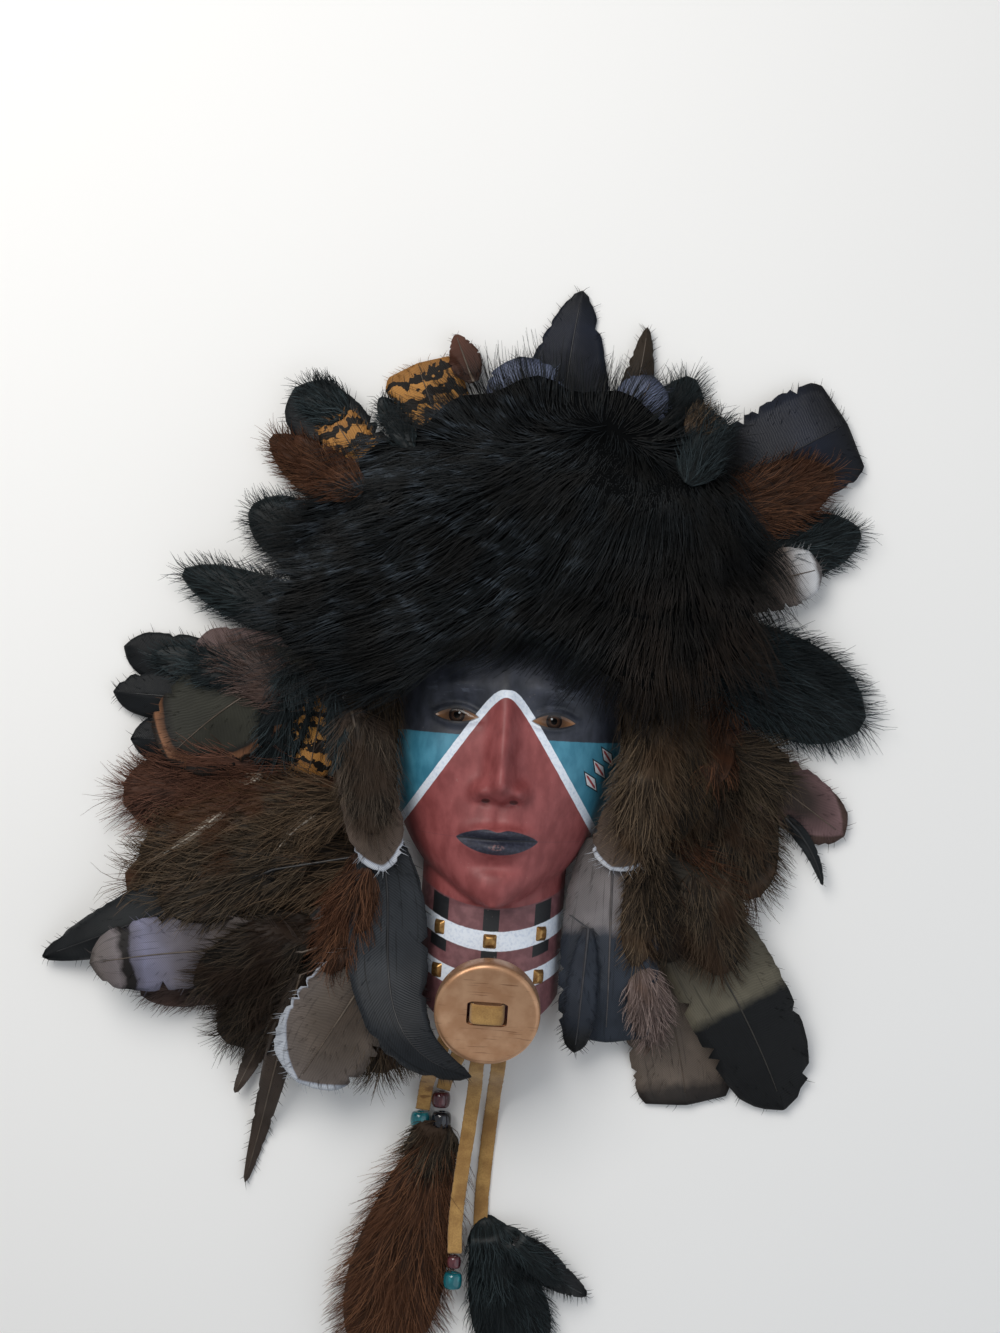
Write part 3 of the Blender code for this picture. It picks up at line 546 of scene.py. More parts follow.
    def draw(self, points: Socket) -> Socket:
        """Draw a tapered three-sided strand along each point's way.

        Args:
            points: The points from scatter().

        Returns:
            The strands as a mesh with their finish.
        """
        line = self.add("GeometryNodeCurvePrimitiveLine")
        bent = self.add("GeometryNodeResampleCurve", {"Curve": line.outputs[0], "Count": self.steps + 1})
        placed = self.add("GeometryNodeInstanceOnPoints", {"Points": points, "Instance": bent.outputs[0]})
        real = self.add("GeometryNodeRealizeInstances", {0: placed.outputs[0]})
        along = self.add("GeometryNodeSplineParameter")
        switch = self.add("GeometryNodeIndexSwitch", data_type="VECTOR")
        for _ in range(self.steps - 1):
            switch.index_switch_items.new()
        self.tree.links.new(along.outputs["Index"], switch.inputs[0])
        for number in range(self.steps + 1):
            self.tree.links.new(self.named(f"way_{number}", "FLOAT_VECTOR"), switch.inputs[number + 1])
        inputs = {"Geometry": real.outputs[0], "Position": switch.outputs[0]}
        moved = self.add("GeometryNodeSetPosition", inputs)
        shared = self.store(moved.outputs[0], "along", along.outputs["Factor"], "FLOAT")
        ring = self.add("GeometryNodeCurvePrimitiveCircle", {"Resolution": 3, "Radius": 0.5})
        taper = self.math("SUBTRACT", 1.0, self.math("MULTIPLY", self.named("along"), self.TAPER))
        width = self.math("MULTIPLY", taper, self.given["Thickness"])
        inputs = {"Curve": shared, "Profile Curve": ring.outputs[0], "Scale": width, "Fill Caps": True}
        tubes = self.add("GeometryNodeCurveToMesh", inputs)
        smooth = self.add("GeometryNodeSetShadeSmooth", {"Geometry": tubes.outputs[0]})
        inputs = {"Geometry": smooth.outputs[0], "Material": self.given["Strand finish"]}
        return self.add("GeometryNodeSetMaterial", inputs).outputs[0]


def applied(obj: Object) -> Mesh:
    """Take an object's shape with its modifiers as a plain mesh, and clear them.

    Args:
        obj: The object.

    Returns:
        The new mesh.
    """
    bpy.context.view_layer.update()
    graph = bpy.context.evaluated_depsgraph_get()
    mesh = bpy.data.meshes.new_from_object(obj.evaluated_get(graph), depsgraph=graph)
    obj.modifiers.clear()
    return mesh


@dataclass(frozen=True)
class Coat:
    """How strands grow: how many, their sizes in millimetres, and how wild they are."""

    count: int
    length: float
    thickness: float
    spread: float = 0.45
    lift: float = 0.15
    stray: float = 0.12
    clump: float = 0.6
    clump_size: float = 14.0
    steps: int = 3


STRANDS = {steps: StrandTree(steps) for steps in (2, 3, 4)}


def grow(obj: Object, coat: Coat, finish: Material, seed: int) -> None:
    """Grow strands over a body and leave a plain mesh.

    Args:
        obj: The body, with flow, cover and reach on its points.
        coat: How the strands grow.
        finish: The strands' material.
        seed: The seed of what is random.
    """
    cover = [item.value for item in obj.data.attributes["cover"].data]
    area = sum(face.area * sum(cover[v] for v in face.vertices) / len(face.vertices)
               for face in obj.data.polygons)
    strands = STRANDS[coat.steps]
    values = (coat.count / area, seed, coat.length * MM, coat.spread, coat.thickness * MM, coat.lift,
              coat.stray, coat.clump, 1 / (coat.clump_size * MM), finish)
    items = strands.tree.interface.items_tree
    sockets = {item.name: item.identifier for item in items if item.in_out == "INPUT"}
    modifier = obj.modifiers.new("strands", "NODES")
    modifier.node_group = strands.tree
    for name, value in zip(StrandTree.INPUTS, values):
        modifier[sockets[name]] = value
    grown = applied(obj)
    grown.name = obj.name
    obj.data = grown
    for number in range(coat.steps + 1):
        grown.attributes.remove(grown.attributes[f"way_{number}"])


def add_piece(name: str, mesh: Mesh, *finishes: Material) -> Object:
    """Put a mesh in the scene with its materials.

    Args:
        name: The piece's name.
        mesh: Its mesh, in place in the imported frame.
        *finishes: Its materials, one a slot.

    Returns:
        The new object.
    """
    obj = bpy.data.objects.new(name, mesh)
    bpy.context.scene.collection.objects.link(obj)
    for finish in finishes:
        mesh.materials.append(finish)
    return obj


def declare(obj: Object, slot: str, *nodes: str) -> None:
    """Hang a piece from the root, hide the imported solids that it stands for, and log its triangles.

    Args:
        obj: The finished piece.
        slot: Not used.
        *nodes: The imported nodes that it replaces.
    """
    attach(obj, ROOT)
    if nodes:
        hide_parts(*nodes)
    obj.data.calc_loop_triangles()
    LOG.info("%s: %d triangles", obj.name, len(obj.data.loop_triangles))


def close_mesh(name: str, work: BMesh, merge: float = 1e-7) -> Mesh:
    """Merge doubles, turn the faces outwards and make a smooth mesh.

    Args:
        name: The mesh's name.
        work: The closed shape.
        merge: How near points are merged, in metres.

    Returns:
        The mesh.
    """
    bmesh.ops.remove_doubles(work, verts=work.verts, dist=merge)
    bmesh.ops.recalc_face_normals(work, faces=work.faces)
    if work.calc_volume(signed=True) < 0:
        bmesh.ops.reverse_faces(work, faces=work.faces)
    for face in work.faces:
        face.smooth = True
    mesh = bpy.data.meshes.new(name)
    work.to_mesh(mesh)
    work.free()
    return mesh


def cells(sheet: Sequence[Sequence[BMVert]], around: bool = False) -> list[tuple]:
    """List the four corners of each cell of a grid of points.

    Args:
        sheet: The grid's rows.
        around: Whether each row closes on itself.

    Returns:
        The corners in order.
    """
    rows = [[*row, row[0]] if around else row for row in sheet]
    return [corners for near, far in zip(rows, rows[1:]) for corners in zip(near, near[1:], far[1:], far)]


def skin(work: BMesh, rings: Sequence[Sequence[BMVert]], finish: int = 0) -> None:
    """Close a row of rings into a tube with flat ends.

    Args:
        work: The mesh at work.
        rings: Its rings, each with as many points.
        finish: The faces' material slot.
    """
    for corners in (rings[0], rings[-1], *cells(rings, around=True)):
        work.faces.new(corners).material_index = finish


def smooth_route(route: Sequence[Vector], count: int) -> list[Vector]:
    """Give points at even steps along a smooth curve through a route's own points.

    Args:
        route: The route's points.
        count: How many points to give.

    Returns:
        The points.
    """
    ends = [2 * route[0] - route[1], *route, 2 * route[-1] - route[-2]]
    dense = []
    for a, b, c, d in zip(ends, ends[1:], ends[2:], ends[3:]):
        for t in np.linspace(0, 1, 24, endpoint=False):
            dense.append(0.5 * (2 * b + (c - a) * t + (2 * a - 5 * b + 4 * c - d) * t**2
                                + (3 * b - a - 3 * c + d) * t**3))
    dense.append(route[-1])
    places = np.array(dense)
    along = np.concatenate(([0.0], np.cumsum(np.linalg.norm(np.diff(places, axis=0), axis=1))))
    wanted = np.linspace(0, along[-1], count)
    return [Vector([float(np.interp(want, along, places[:, axis])) for axis in range(3)]) for want in wanted]


@dataclass(frozen=True)
class FurFinish:
    """Hair or down: dark at the root, lighter at the tip, each strand a little different, and a painted sheen
    where one is given.
    """

    name: str
    slot: str
    dark: Judged
    light: Judged
    roughness: float = 0.5
    patch: Judged | None = None
    warm: Judged | None = None
    sheen: Judged | None = None
    gloss: float = 0.12

    @cache
    def material(self) -> Material:
        """Build the material once.

        Returns:
            The material.
        """
        paint = Paint(self.name)
        tone = paint.attribute("tone")[3]
        along = paint.attribute("along")[3]
        share = (tone.power(1.6) * 0.75 + along.power(2.0) * 0.4).rise(0.0, 1.1)
        light = shade(*self.light)
        colour = paint.mix(share, shade(*self.dark), light)
        grain = paint.noise(1.0, 3.0, (2.0, 26.0, 1.0), paint.attribute_vector("place")).rise(0.45, 0.7)
        colour = paint.mix(grain * 0.45, colour, light)
        if self.warm:
            x, y, _ = paint.place()
            zone = (x + paint.noise(30.0) * 40.0).rise(35.0, 95.0) * (-y + 0.0).rise(-95.0, -25.0)
            colour = paint.mix(zone * (tone * 0.6 + 0.4), colour, shade(*self.warm))
        # Painted sheen: bluish-grey highlights laid on some locks at the left of the cap, strongest towards
        # the tips.
        if self.sheen:
            x, y, _ = paint.place()
            lock = paint.noise(11.0, 2.0, (1.0, 2.2, 1.0)).rise(0.50, 0.70)
            highlight = (-x + 0.0).rise(-60.0, 30.0) * y.rise(20.0, 50.0) * lock
            colour = paint.mix(highlight * (along * 0.7 + 0.4) * tone, colour, shade(*self.sheen))
        if self.patch:
            cloud = paint.noise(26.0, 2.0).rise(0.48, 0.62)
            colour = paint.mix(cloud * 0.8, colour, shade(*self.patch))
        paint.set("Base Color", colour)
        paint.set("Roughness", (tone * 0.25) + (self.roughness - 0.1))
        paint.set("Specular IOR Level", self.gloss)
        return paint.material


class Runs(Enum):
    """Which way a feather's colours change."""

    ALONG = "from its root to its tip"
    RIM = "from its middle out to its rim"


@dataclass(frozen=True)
class Plumage:
    """A feather's vane: colours by stops, fine barbs and a shaft."""

    name: str
    slot: str
    stops: tuple[tuple[float, Judged], ...]
    runs: Runs = Runs.ALONG
    hard: bool = False
    roughness: float = 0.55
    wobble: float = 0.05
    shaft: Judged = (85, 72, 60)
    barbs: float = 0.9
    sides: tuple[float, float] = (1.0, 1.0)
    splits: float = 0.0

    @cache
    def material(self) -> Material:
        """Build the vane's material once.

        Returns:
            The material.
        """
        paint = Paint(self.name)
        station, across, phase, _ = paint.attribute("place")
        tone = paint.attribute("tone")[3]
        shake = (paint.noise(6.0, 3.0) - 0.5) * self.wobble
        if self.runs is Runs.RIM:
            far = ((station - 0.5) / 0.5).most(0.0)
            left, right = self.sides
            wide = across.most(0.0) * right - across.least(0.0) * left
            share = (far * far + wide * wide).power(0.5)
        else:
            share = station
        stops = [(position, shade(*colour)) for position, colour in self.stops]
        colour = paint.ramp(share + shake, stops, self.hard)
        if self.splits:
            # The dark lines in the vane's splits are partly what lies beneath and partly painted shade.
            gap = paint.noise(1.0, 2.0, (3.0, 15.0, 0.0), paint.attribute_vector("place")).rise(0.60, 0.66)
            colour = paint.mix(gap * self.splits, colour, shade(8, 9, 10))
        barb = ((phase + paint.noise(9.0, 2.0) * 2.0) * (2 * math.pi / self.barbs)).math("SINE")
        lit = paint.mix((barb * 0.5 + 0.5) * 0.35, colour, (0.0, 0.0, 0.0))
        patchy = paint.mix(paint.noise(14.0, 2.0).rise(0.35, 0.75) * 0.35, lit, (1.0, 1.0, 1.0), "OVERLAY")
        varied = paint.mix(tone * 0.30, patchy, (0.0, 0.0, 0.0))
        paint.set("Base Color", varied)
        paint.set("Roughness", self.roughness)
        paint.set("Specular IOR Level", 0.22)
        paint.bump(barb * 0.5 + 0.5, 0.12, 0.8)
        return paint.material

    @cache
    def shaft_material(self) -> Material:
        """Build the shaft's material once.

        Returns:
            The material.
        """
        paint = Paint(f"{self.name}_shaft")
        shaft = shade(*self.shaft)
        darker = tuple(part * 0.6 for part in shaft)
        paint.set("Base Color", paint.mix(paint.noise(5.0).rise(0.3, 0.7), shaft, darker))
        paint.set("Roughness", 0.4)
        return paint.material


# The black fur's last colour, after the warm brown, is a painted sheen on its locks.
BLACK_FUR = FurFinish(
    "glossy_black_hair", "black_fur", (7, 9, 10), (32, 38, 42), 0.45, (14, 14, 13), (46, 36, 28),
    (84, 95, 106), 0.22)
FUR_HIDE = FurFinish("hide_under_fur", "black_fur", (8, 9, 10), (14, 15, 16), 0.95, gloss=0.02)
BROWN_FUR = FurFinish("brown_fur", "brown_down", (24, 20, 16), (96, 80, 62), 0.55, (58, 44, 32))
CHEEK_FLUFF = FurFinish("cheek_fluff", "brown_down", (36, 31, 27), (104, 92, 80), 0.6, (66, 54, 45))
LIGHT_FLUFF = FurFinish("light_fluff", "brown_down", (48, 40, 33), (124, 106, 86), 0.6, (84, 66, 50))
PALE_FLUFF = FurFinish("pale_fluff", "mauve_feather", (92, 78, 74), (170, 152, 146), 0.6, (112, 88, 74))
MAUVE_FLUFF = FurFinish("mauve_fluff", "mauve_feather", (60, 50, 47), (134, 114, 108), 0.6, (94, 76, 70))
BROWN_DOWN = FurFinish("soft_brown_down", "brown_down", (34, 28, 22), (118, 98, 78), 0.6, (80, 54, 38))
DARK_BROWN = FurFinish("dark_brown_down", "brown_down", (32, 28, 24), (104, 90, 74), 0.6, (62, 47, 36))
DARK_DOWN = FurFinish("dark_down", "brown_down", (20, 18, 16), (76, 65, 54), 0.6, (42, 31, 24))
MAROON_DOWN = FurFinish("soft_maroon_down", "maroon_down", (50, 34, 28), (134, 94, 78), 0.6, (84, 56, 44))
BLACK_DOWN = FurFinish("soft_black_down", "black_down", (17, 21, 22), (66, 78, 82), 0.5, (28, 33, 35))
RUST_DOWN = FurFinish("rust_down", "rust_feather", (44, 29, 21), (122, 84, 62), 0.6, (72, 45, 31))
PLUME_BROWN = FurFinish("plume_brown_finish", "brown_down", (48, 32, 23), (136, 94, 68), 0.5, (86, 56, 39))

NIGHT = (12, 13, 15)
BLACK_VANE = Plumage(
    "black_vane", "black_feather", ((0.0, NIGHT), (0.5, (24, 28, 31)), (1.0, (16, 19, 22))), roughness=0.45,
    shaft=(34, 34, 36))
# The pale lavender-blue middle and tip are a painted reflection on the glossy blue-black vane.
BLUE_SHEEN_VANE = Plumage(
    "blue_black_vane", "blue_black_feather", ((0.0, (40, 44, 60)), (0.5, (88, 96, 124)),
    (0.86, (122, 132, 160)), (0.95, (84, 92, 116)), (1.0, (30, 34, 42))), roughness=0.38, barbs=1.6,
    splits=0.4)
NAVY_VANE = Plumage(
    "navy_vane", "blue_black_feather", ((0.0, NIGHT), (0.45, (20, 23, 31)), (0.8, (26, 31, 44)),
    (1.0, NIGHT)), roughness=0.4, shaft=(34, 34, 38))
BROWN_VANE = Plumage("brown_vane", "brown_feather", ((0.0, (24, 20, 17)), (1.0, (52, 42, 32))))
MAUVE_VANE = Plumage(
    "grey_mauve_vane", "mauve_feather", ((0.0, (50, 40, 38)), (0.6, (92, 74, 72)), (1.0, (108, 90, 88))))
PINK_VANE = Plumage(
    "mauve_vane", "mauve_feather", ((0.0, (38, 31, 28)), (0.45, (56, 45, 41)), (0.72, (96, 74, 74)),
    (0.93, (120, 94, 95)), (1.0, (74, 56, 50))), Runs.RIM, sides=(1.0, 0.8))
GOLD_VANE = Plumage(
    "gold_barred_vane", "gold_feather", ((0.0, (26, 21, 17)), (0.34, (176, 124, 60)), (0.41, (28, 22, 18)),
    (0.49, (190, 136, 70)), (0.56, (26, 21, 17)), (0.63, (196, 142, 74)), (0.71, (28, 22, 18)),
    (0.78, (188, 134, 70)), (0.87, (26, 21, 17)), (0.93, (160, 112, 58))), hard=True, wobble=0.34, splits=0.8)
COPPER_VANE = Plumage(
    "copper_rim_vane", "copper_feather", ((0.0, (46, 46, 38)), (0.7, (48, 48, 41)), (0.82, (28, 26, 24)),
    (0.845, (84, 56, 38)), (0.95, (132, 92, 66)), (0.985, (34, 28, 24))), Runs.RIM, wobble=0.03,
    sides=(0.62, 1.0))
# Its pale violet band before the dark bar is a painted sheen on the grey vane.
BANDED_VANE = Plumage(
    "banded_vane", "banded_feather", ((0.0, (66, 56, 50)), (0.4, (84, 76, 74)), (0.6, (104, 100, 108)),
    (0.74, (122, 122, 144)), (0.79, (98, 96, 110)), (0.805, (28, 25, 25)), (0.84, (30, 26, 25)),
    (0.87, (128, 120, 122)), (0.95, (110, 102, 100)), (1.0, (60, 54, 50))), wobble=0.06, roughness=0.4,
    splits=0.35)
FRINGED_VANE = Plumage(
    "fringed_vane", "fringed_feather", ((0.0, (70, 60, 52)), (0.5, (92, 82, 74)), (0.94, (104, 95, 90)),
    (0.972, (168, 175, 188)), (1.0, (186, 192, 202))), Runs.RIM, wobble=0.02, sides=(1.0, 0.66), splits=0.3,
    shaft=(96, 84, 72))
FRINGED_TIP_VANE = Plumage(
    "fringed_tip_vane", "fringed_feather", ((0.0, (60, 49, 41)), (0.6, (84, 70, 60)), (0.91, (92, 80, 72)),
    (0.95, (188, 196, 210)), (1.0, (206, 212, 222))), Runs.RIM, wobble=0.02, sides=(0.66, 0.66))
SLATE_VANE = Plumage(
    "slate_vane", "slate_feather", ((0.0, (30, 33, 36)), (0.4, (50, 54, 59)), (0.75, (30, 34, 39)),
    (1.0, (22, 25, 29))), roughness=0.5, barbs=1.4, splits=0.8, shaft=(40, 40, 42))
NAVY_TIP_VANE = Plumage(
    "navy_tip_vane", "taupe_feather", ((0.0, (104, 96, 92)), (0.5, (124, 120, 122)), (0.55, (54, 60, 70)),
    (1.0, (44, 51, 61))), roughness=0.5, splits=0.35, shaft=(88, 84, 84))
NARROW_VANE = Plumage(
    "narrow_tip_vane", "black_feather", ((0.0, (70, 70, 74)), (0.1, (52, 58, 68)), (0.75, (42, 48, 58)),
    (0.9, (14, 16, 18)), (1.0, (10, 11, 13))), roughness=0.5, shaft=(60, 60, 64))
BLACK_TIP_VANE = Plumage(
    "black_tip_vane", "brown_feather", ((0.0, (44, 38, 32)), (0.4, (64, 59, 49)), (0.6, (102, 97, 83)),
    (0.635, (16, 18, 20)), (1.0, (13, 15, 17))), roughness=0.45, wobble=0.03, splits=0.4, shaft=(52, 48, 42))
TAUPE_VANE = Plumage(
    "taupe_vane", "taupe_feather", ((0.0, (76, 66, 58)), (0.5, (108, 97, 88)), (0.86, (104, 93, 84)),
    (0.93, (48, 43, 40)), (1.0, (32, 29, 28))), wobble=0.1, splits=0.3)
CREAM_VANE = Plumage(
    "cream_tip_vane", "taupe_feather", ((0.0, (30, 26, 24)), (0.55, (72, 62, 56)), (0.72, (116, 106, 100)),
    (0.84, (190, 190, 192)), (0.92, (212, 214, 218)), (0.96, (96, 92, 92))), wobble=0.08)
QUILL_VANE = Plumage(
    "pale_quill_vane", "taupe_feather", ((0.0, (150, 138, 124)), (1.0, (104, 92, 80))), shaft=(190, 180, 166))
RUSTY_VANE = Plumage("rusty_tip_vane", "rust_feather", ((0.0, (40, 26, 20)), (1.0, (88, 54, 42))))
SPIKE_VANE = Plumage("spike_vane", "brown_feather", ((0.0, (44, 36, 30)), (1.0, (70, 59, 52))), roughness=0.5)


class StudioSet:
    """A camera that looks straight down on the mask, soft lights and a pale floor."""

    EYE = (-4.0, 23.0, 1030.0)
    TURN = math.radians(4.0)
    LENS = 60.0
    SENSOR = 36.0
    FLOOR_HALF = 3.0
    LIGHTS = (
        ("key", (-420, 520, 900), 0.7, 9.0, (1.0, 0.97, 0.93)),
        ("fill", (700, -300, 700), 1.2, 2.4, (0.86, 0.92, 1.0)),
    )
    LIT_PLACE = (0, 0, 30)
    ROOM = (0.93, 0.96, 1.0)
    ROOM_STRENGTH = 0.36

    def build(self) -> None:
        """Set up the camera, the lights and the floor."""
        bpy.context.scene.view_settings.view_transform = "Standard"
        self.build_camera()
        self.build_lights()
        self.build_floor()

    def build_camera(self) -> None:
        """Set the camera above the mask."""
        camera = bpy.data.cameras.new("camera")
        camera.sensor_fit = "VERTICAL"
        camera.sensor_height = self.SENSOR
        camera.lens = self.LENS
        camera.clip_start = 0.01
        obj = bpy.data.objects.new("camera", camera)
        obj.location = at(*self.EYE)
        obj.rotation_euler = (0.0, 0.0, self.TURN)
        bpy.context.scene.collection.objects.link(obj)
        bpy.context.scene.camera = obj

    def build_lights(self) -> None:
        """Hang a large soft light up and to the left and a weaker one to the right, and light the room."""
        for name, place, size, power, colour in self.LIGHTS:
            light = bpy.data.lights.new(name, "AREA")
            light.size = size
            light.energy = power
            light.color = colour
            obj = bpy.data.objects.new(name, light)
            obj.location = at(*place)
            obj.rotation_euler = (at(*self.LIT_PLACE) - obj.location).to_track_quat("-Z", "Y").to_euler()
            bpy.context.scene.collection.objects.link(obj)
        world = bpy.data.worlds.new("soft_room")
        world.use_nodes = True
        background = world.node_tree.nodes["Background"]
        background.inputs[0].default_value = (*self.ROOM, 1.0)
        background.inputs[1].default_value = self.ROOM_STRENGTH
        bpy.context.scene.world = world

    def build_floor(self) -> None:
        """Lay the pale floor at the ground that the mask lies on."""
        work = bmesh.new()
        bmesh.ops.create_grid(work, x_segments=1, y_segments=1, size=self.FLOOR_HALF)
        mesh = bpy.data.meshes.new("floor")
        work.to_mesh(mesh)
        work.free()
        paint = Paint("floor_paper")
        paint.set("Base Color", paint.mix(paint.noise(400.0), (0.86, 0.86, 0.85), (0.90, 0.90, 0.89)))
        paint.set("Roughness", 0.9)
        floor = add_piece("floor", mesh, paint.material)


@dataclass
class Laces:
    """Four flat suede laces that fall from behind the disc; the lace across the disc's bar takes the same
    suede.
    """

    width: float = 0.007
    thickness: float = 0.0015
    stations: int = 110
    wave: float = 0.00022
    routes: tuple = (
        ("lace_left", ((-15, -138, 39.8), (-17, -146, 38.8), (-20, -155, 32.5), (-22.5, -163, 20),
                       (-24.5, -172, 8), (-25.4, -183.2, 4.6))),
        ("lace_second", ((-7.2, -138, 39.8), (-9, -147, 38.8), (-12, -156, 32), (-14, -163, 18),
                         (-15.5, -168.5, 8), (-16.4, -173.1, 5.2))),
        ("lace_third", ((0.4, -138, 39.8), (-1, -148, 38.6), (-2, -158, 32), (-2, -168, 20), (-3, -182, 13.5),
                        (-5, -205, 13.2), (-6.5, -228, 13.6), (-6, -246.0, 14.4))),
        ("lace_fourth", ((8.2, -138, 39.8), (8, -148, 38.6), (7.6, -158, 32), (7, -168, 18), (6.4, -182, 4.5),
                         (5.6, -200, 1.1), (4.8, -220, 1.1), (5, -236, 1.6))),
    )

    def build(self) -> dict[str, tuple[Object, list[Vector]]]:
        """Build the four laces.

        Returns:
            Each lace's piece and the points that it follows, by name.
        """
        laces = {}
        for number, (name, places) in enumerate(self.routes):
            points = smooth_route([at(*place) for place in places], self.stations)
            mesh = self.strap_mesh(name, points, self.width, self.thickness, number)
            laces[name] = (add_piece(f"{name}_suede", mesh, self.suede(number == 0)), points)
        return laces

    def strap_mesh(self, name: str, points: Sequence[Vector], width: float, thickness: float,
                   seed: int) -> Mesh:
        """Sweep a strap with soft edges along a route, its flat side up.

        Args:
            name: The mesh's name.
            points: The route.
            width: The strap's width.
            thickness: Its thickness.
            seed: The seed of its uneven edges.

        Returns:
            The closed strap.
        """
        random = np.random.default_rng(seed)
        work = bmesh.new()
        rings = []
        count = len(points)
        drift = np.cumsum(random.normal(0, 0.25, count))
        drift = np.clip((drift - drift.mean()) / 2, -1, 1) * self.wave
        for i, point in enumerate(points):
            ahead = (points[min(i + 1, count - 1)] - points[max(i - 1, 0)]).normalized()
            side = Vector((-ahead.y, ahead.x, 0.0)).normalized()
            up = ahead.cross(side)
            half = width / 2 - self.wave + random.normal(0, 0.00006)
            rings.append(self.section(work, point + side * drift[i], side * half, up * (thickness / 2), 0.55))
        skin(work, rings)
        return close_mesh(name, work)

    @staticmethod
    def section(work: BMesh, middle: Vector, across: Vector, up: Vector, fullness: float) -> list[BMVert]:
        """Set the points round a flat strap.

        Args:
            work: The mesh at work.
            middle: The strap's middle.
            across: The way and distance to its edge.
            up: The way and distance to its face.
            fullness: How rounded its faces are, less being flatter.

        Returns:
            The points.
        """
        ring = []
        for turn in np.linspace(0, 2 * math.pi, 14, endpoint=False):
            wide = math.copysign(abs(math.cos(turn)) ** 0.3, math.cos(turn))
            high = math.copysign(abs(math.sin(turn)) ** fullness, math.sin(turn))
            ring.append(work.verts.new(middle + across * wide + up * high))
        return ring

    @staticmethod
    @cache
    def suede(streaked: bool) -> Material:
        """Build tan suede once, brushed and a little soiled, with dark marks where it is streaked.

        Args:
            streaked: Whether it has darker streaks.

        Returns:
            The material.
        """
        paint = Paint("streaked_suede" if streaked else "plain_suede")
        nap = paint.noise(0.7, 4.0)
        cloud = paint.noise(9.0, 3.0)
        colour = paint.mix(cloud.rise(0.3, 0.7), shade(138, 102, 54), shade(178, 140, 82))
        colour = paint.mix(nap.rise(0.35, 0.7) * 0.35, colour, shade(110, 76, 40))
        if streaked:
            marks = paint.noise(2.6, 2.0, (0.35, 1.0, 0.35)).rise(0.54, 0.66)
            colour = paint.mix(marks * 0.7, colour, shade(96, 60, 28))
        paint.set("Base Color", colour)
        paint.set("Roughness", 0.92)
        paint.set("Sheen Weight", 0.25)
        paint.bump(nap + cloud, 0.18, 0.7)
        return paint.material


@dataclass
class Beads:
    """Five drilled barrel beads at the ends of the laces."""

    length: float = 0.0075
    hole: float = 0.0013
    sides: int = 48
    table: tuple = (
        ("bead_teal", (-26.2, -188.2, 4.6), 9.0, "bead_teal"),
        ("bead_purple", (-17.2, -178, 5.0), 8.6, "bead_purple"),
        ("bead_dark", (-16.4, -187.5, 4.8), 9.2, "bead_dark"),
        ("bead_low_purple", (-6, -250, 14.4), 6.4, "bead_purple"),
        ("bead_low_teal", (-6, -258.5, 14.2), 8.6, "bead_teal"),
    )
    colours: tuple = (
        ("bead_teal", shade(12, 92, 102), shade(60, 160, 168)),
        ("bead_purple", shade(66, 26, 34), shade(120, 66, 70)),
        ("bead_dark", shade(20, 22, 28), shade(64, 68, 84)),
    )

    def build(self) -> list[Object]:
        """Build the beads.

        Returns:
            The beads.
        """
        finishes = {name: self.glaze(name, dark, light) for name, dark, light in self.colours}
        beads = []
        for name, middle, width, finish in self.table:
            barrel = self.barrel(name, at(*middle), width * MM / 2)
            bead = add_piece(f"{name}_glass", barrel, finishes[finish])
            declare(bead, finish, name)
            beads.append(bead)
        return beads

    def barrel(self, name: str, middle: Vector, radius: float) -> Mesh:
        """Turn a barrel with a drilled middle, its hole along the lace.

        Args:
            name: The mesh's name.
            middle: The bead's middle.
            radius: Its radius.

        Returns:
            The closed bead.
        """
        half = min(self.length, radius * 1.7) / 2
        profile = []
        for turn in np.linspace(-math.pi / 2, math.pi / 2, 13):
            profile.append((radius * (0.50 + 0.50 * math.cos(turn) ** 0.55), half * math.sin(turn)))
        inner = [(self.hole + 0.0003 * abs(share) ** 3, half * share) for share in np.linspace(1, -1, 7)]
        profile = [*profile, *inner]
        work = bmesh.new()
        rings = []
        for turn in np.linspace(0, 2 * math.pi, self.sides, endpoint=False):
            spin = Vector((math.cos(turn), 0.0, math.sin(turn)))
            rings.append([work.verts.new(middle + spin * r + Vector((0.0, y, 0.0))) for r, y in profile])
        for corners in cells([*rings, rings[0]], around=True):
            work.faces.new(corners)
        return close_mesh(name, work)

    @staticmethod
    def glaze(name: str, dark: Colour, light: Colour) -> Material:
        """Build glossy bead glass with swirls.

        Args:
            name: The material's name.
            dark: Its main colour.
            light: The colour of its swirls.

        Returns:
            The material.
        """
        paint = Paint(f"{name}_glass")
        swirl = paint.noise(3.2, 3.0, (1.0, 0.6, 1.0)).rise(0.45, 0.75)
        paint.set("Base Color", paint.mix(swirl * 0.6, dark, light))
        paint.set("Roughness", 0.10)
        paint.set("Coat Weight", 0.5)
        paint.set("Coat Roughness", 0.04)
        return paint.material


FACE_FORMS = (
    ("socket", 0.130, 0.010, -0.034, 0.062, 0.042),
    ("brow", 0.120, 0.082, 0.012, 0.070, 0.024),
    ("eyeball", 0.128, -0.002, 0.036, 0.046, 0.030),
    ("cheekbone", 0.205, -0.115, 0.014, 0.085, 0.075),
    ("cheek_hollow", 0.190, -0.285, -0.012, 0.060, 0.070),
    ("nose_bridge", 0.000, -0.010, 0.040, 0.030, 0.095),
    ("nose_ridge", 0.000, -0.115, 0.060, 0.033, 0.075),
    ("nose_tip", 0.000, -0.178, 0.052, 0.038, 0.036),
    ("nostril_wing", 0.050, -0.192, 0.040, 0.024, 0.024),
    ("upper_lip", 0.030, -0.297, 0.024, 0.055, 0.017),
    ("lower_lip", 0.000, -0.338, 0.030, 0.062, 0.020),
    ("muzzle", 0.000, -0.300, 0.020, 0.095, 0.085),
    ("lip_fold", 0.000, -0.390, -0.014, 0.060, 0.018),
    ("chin_ball", 0.000, -0.445, 0.028, 0.085, 0.055),
)


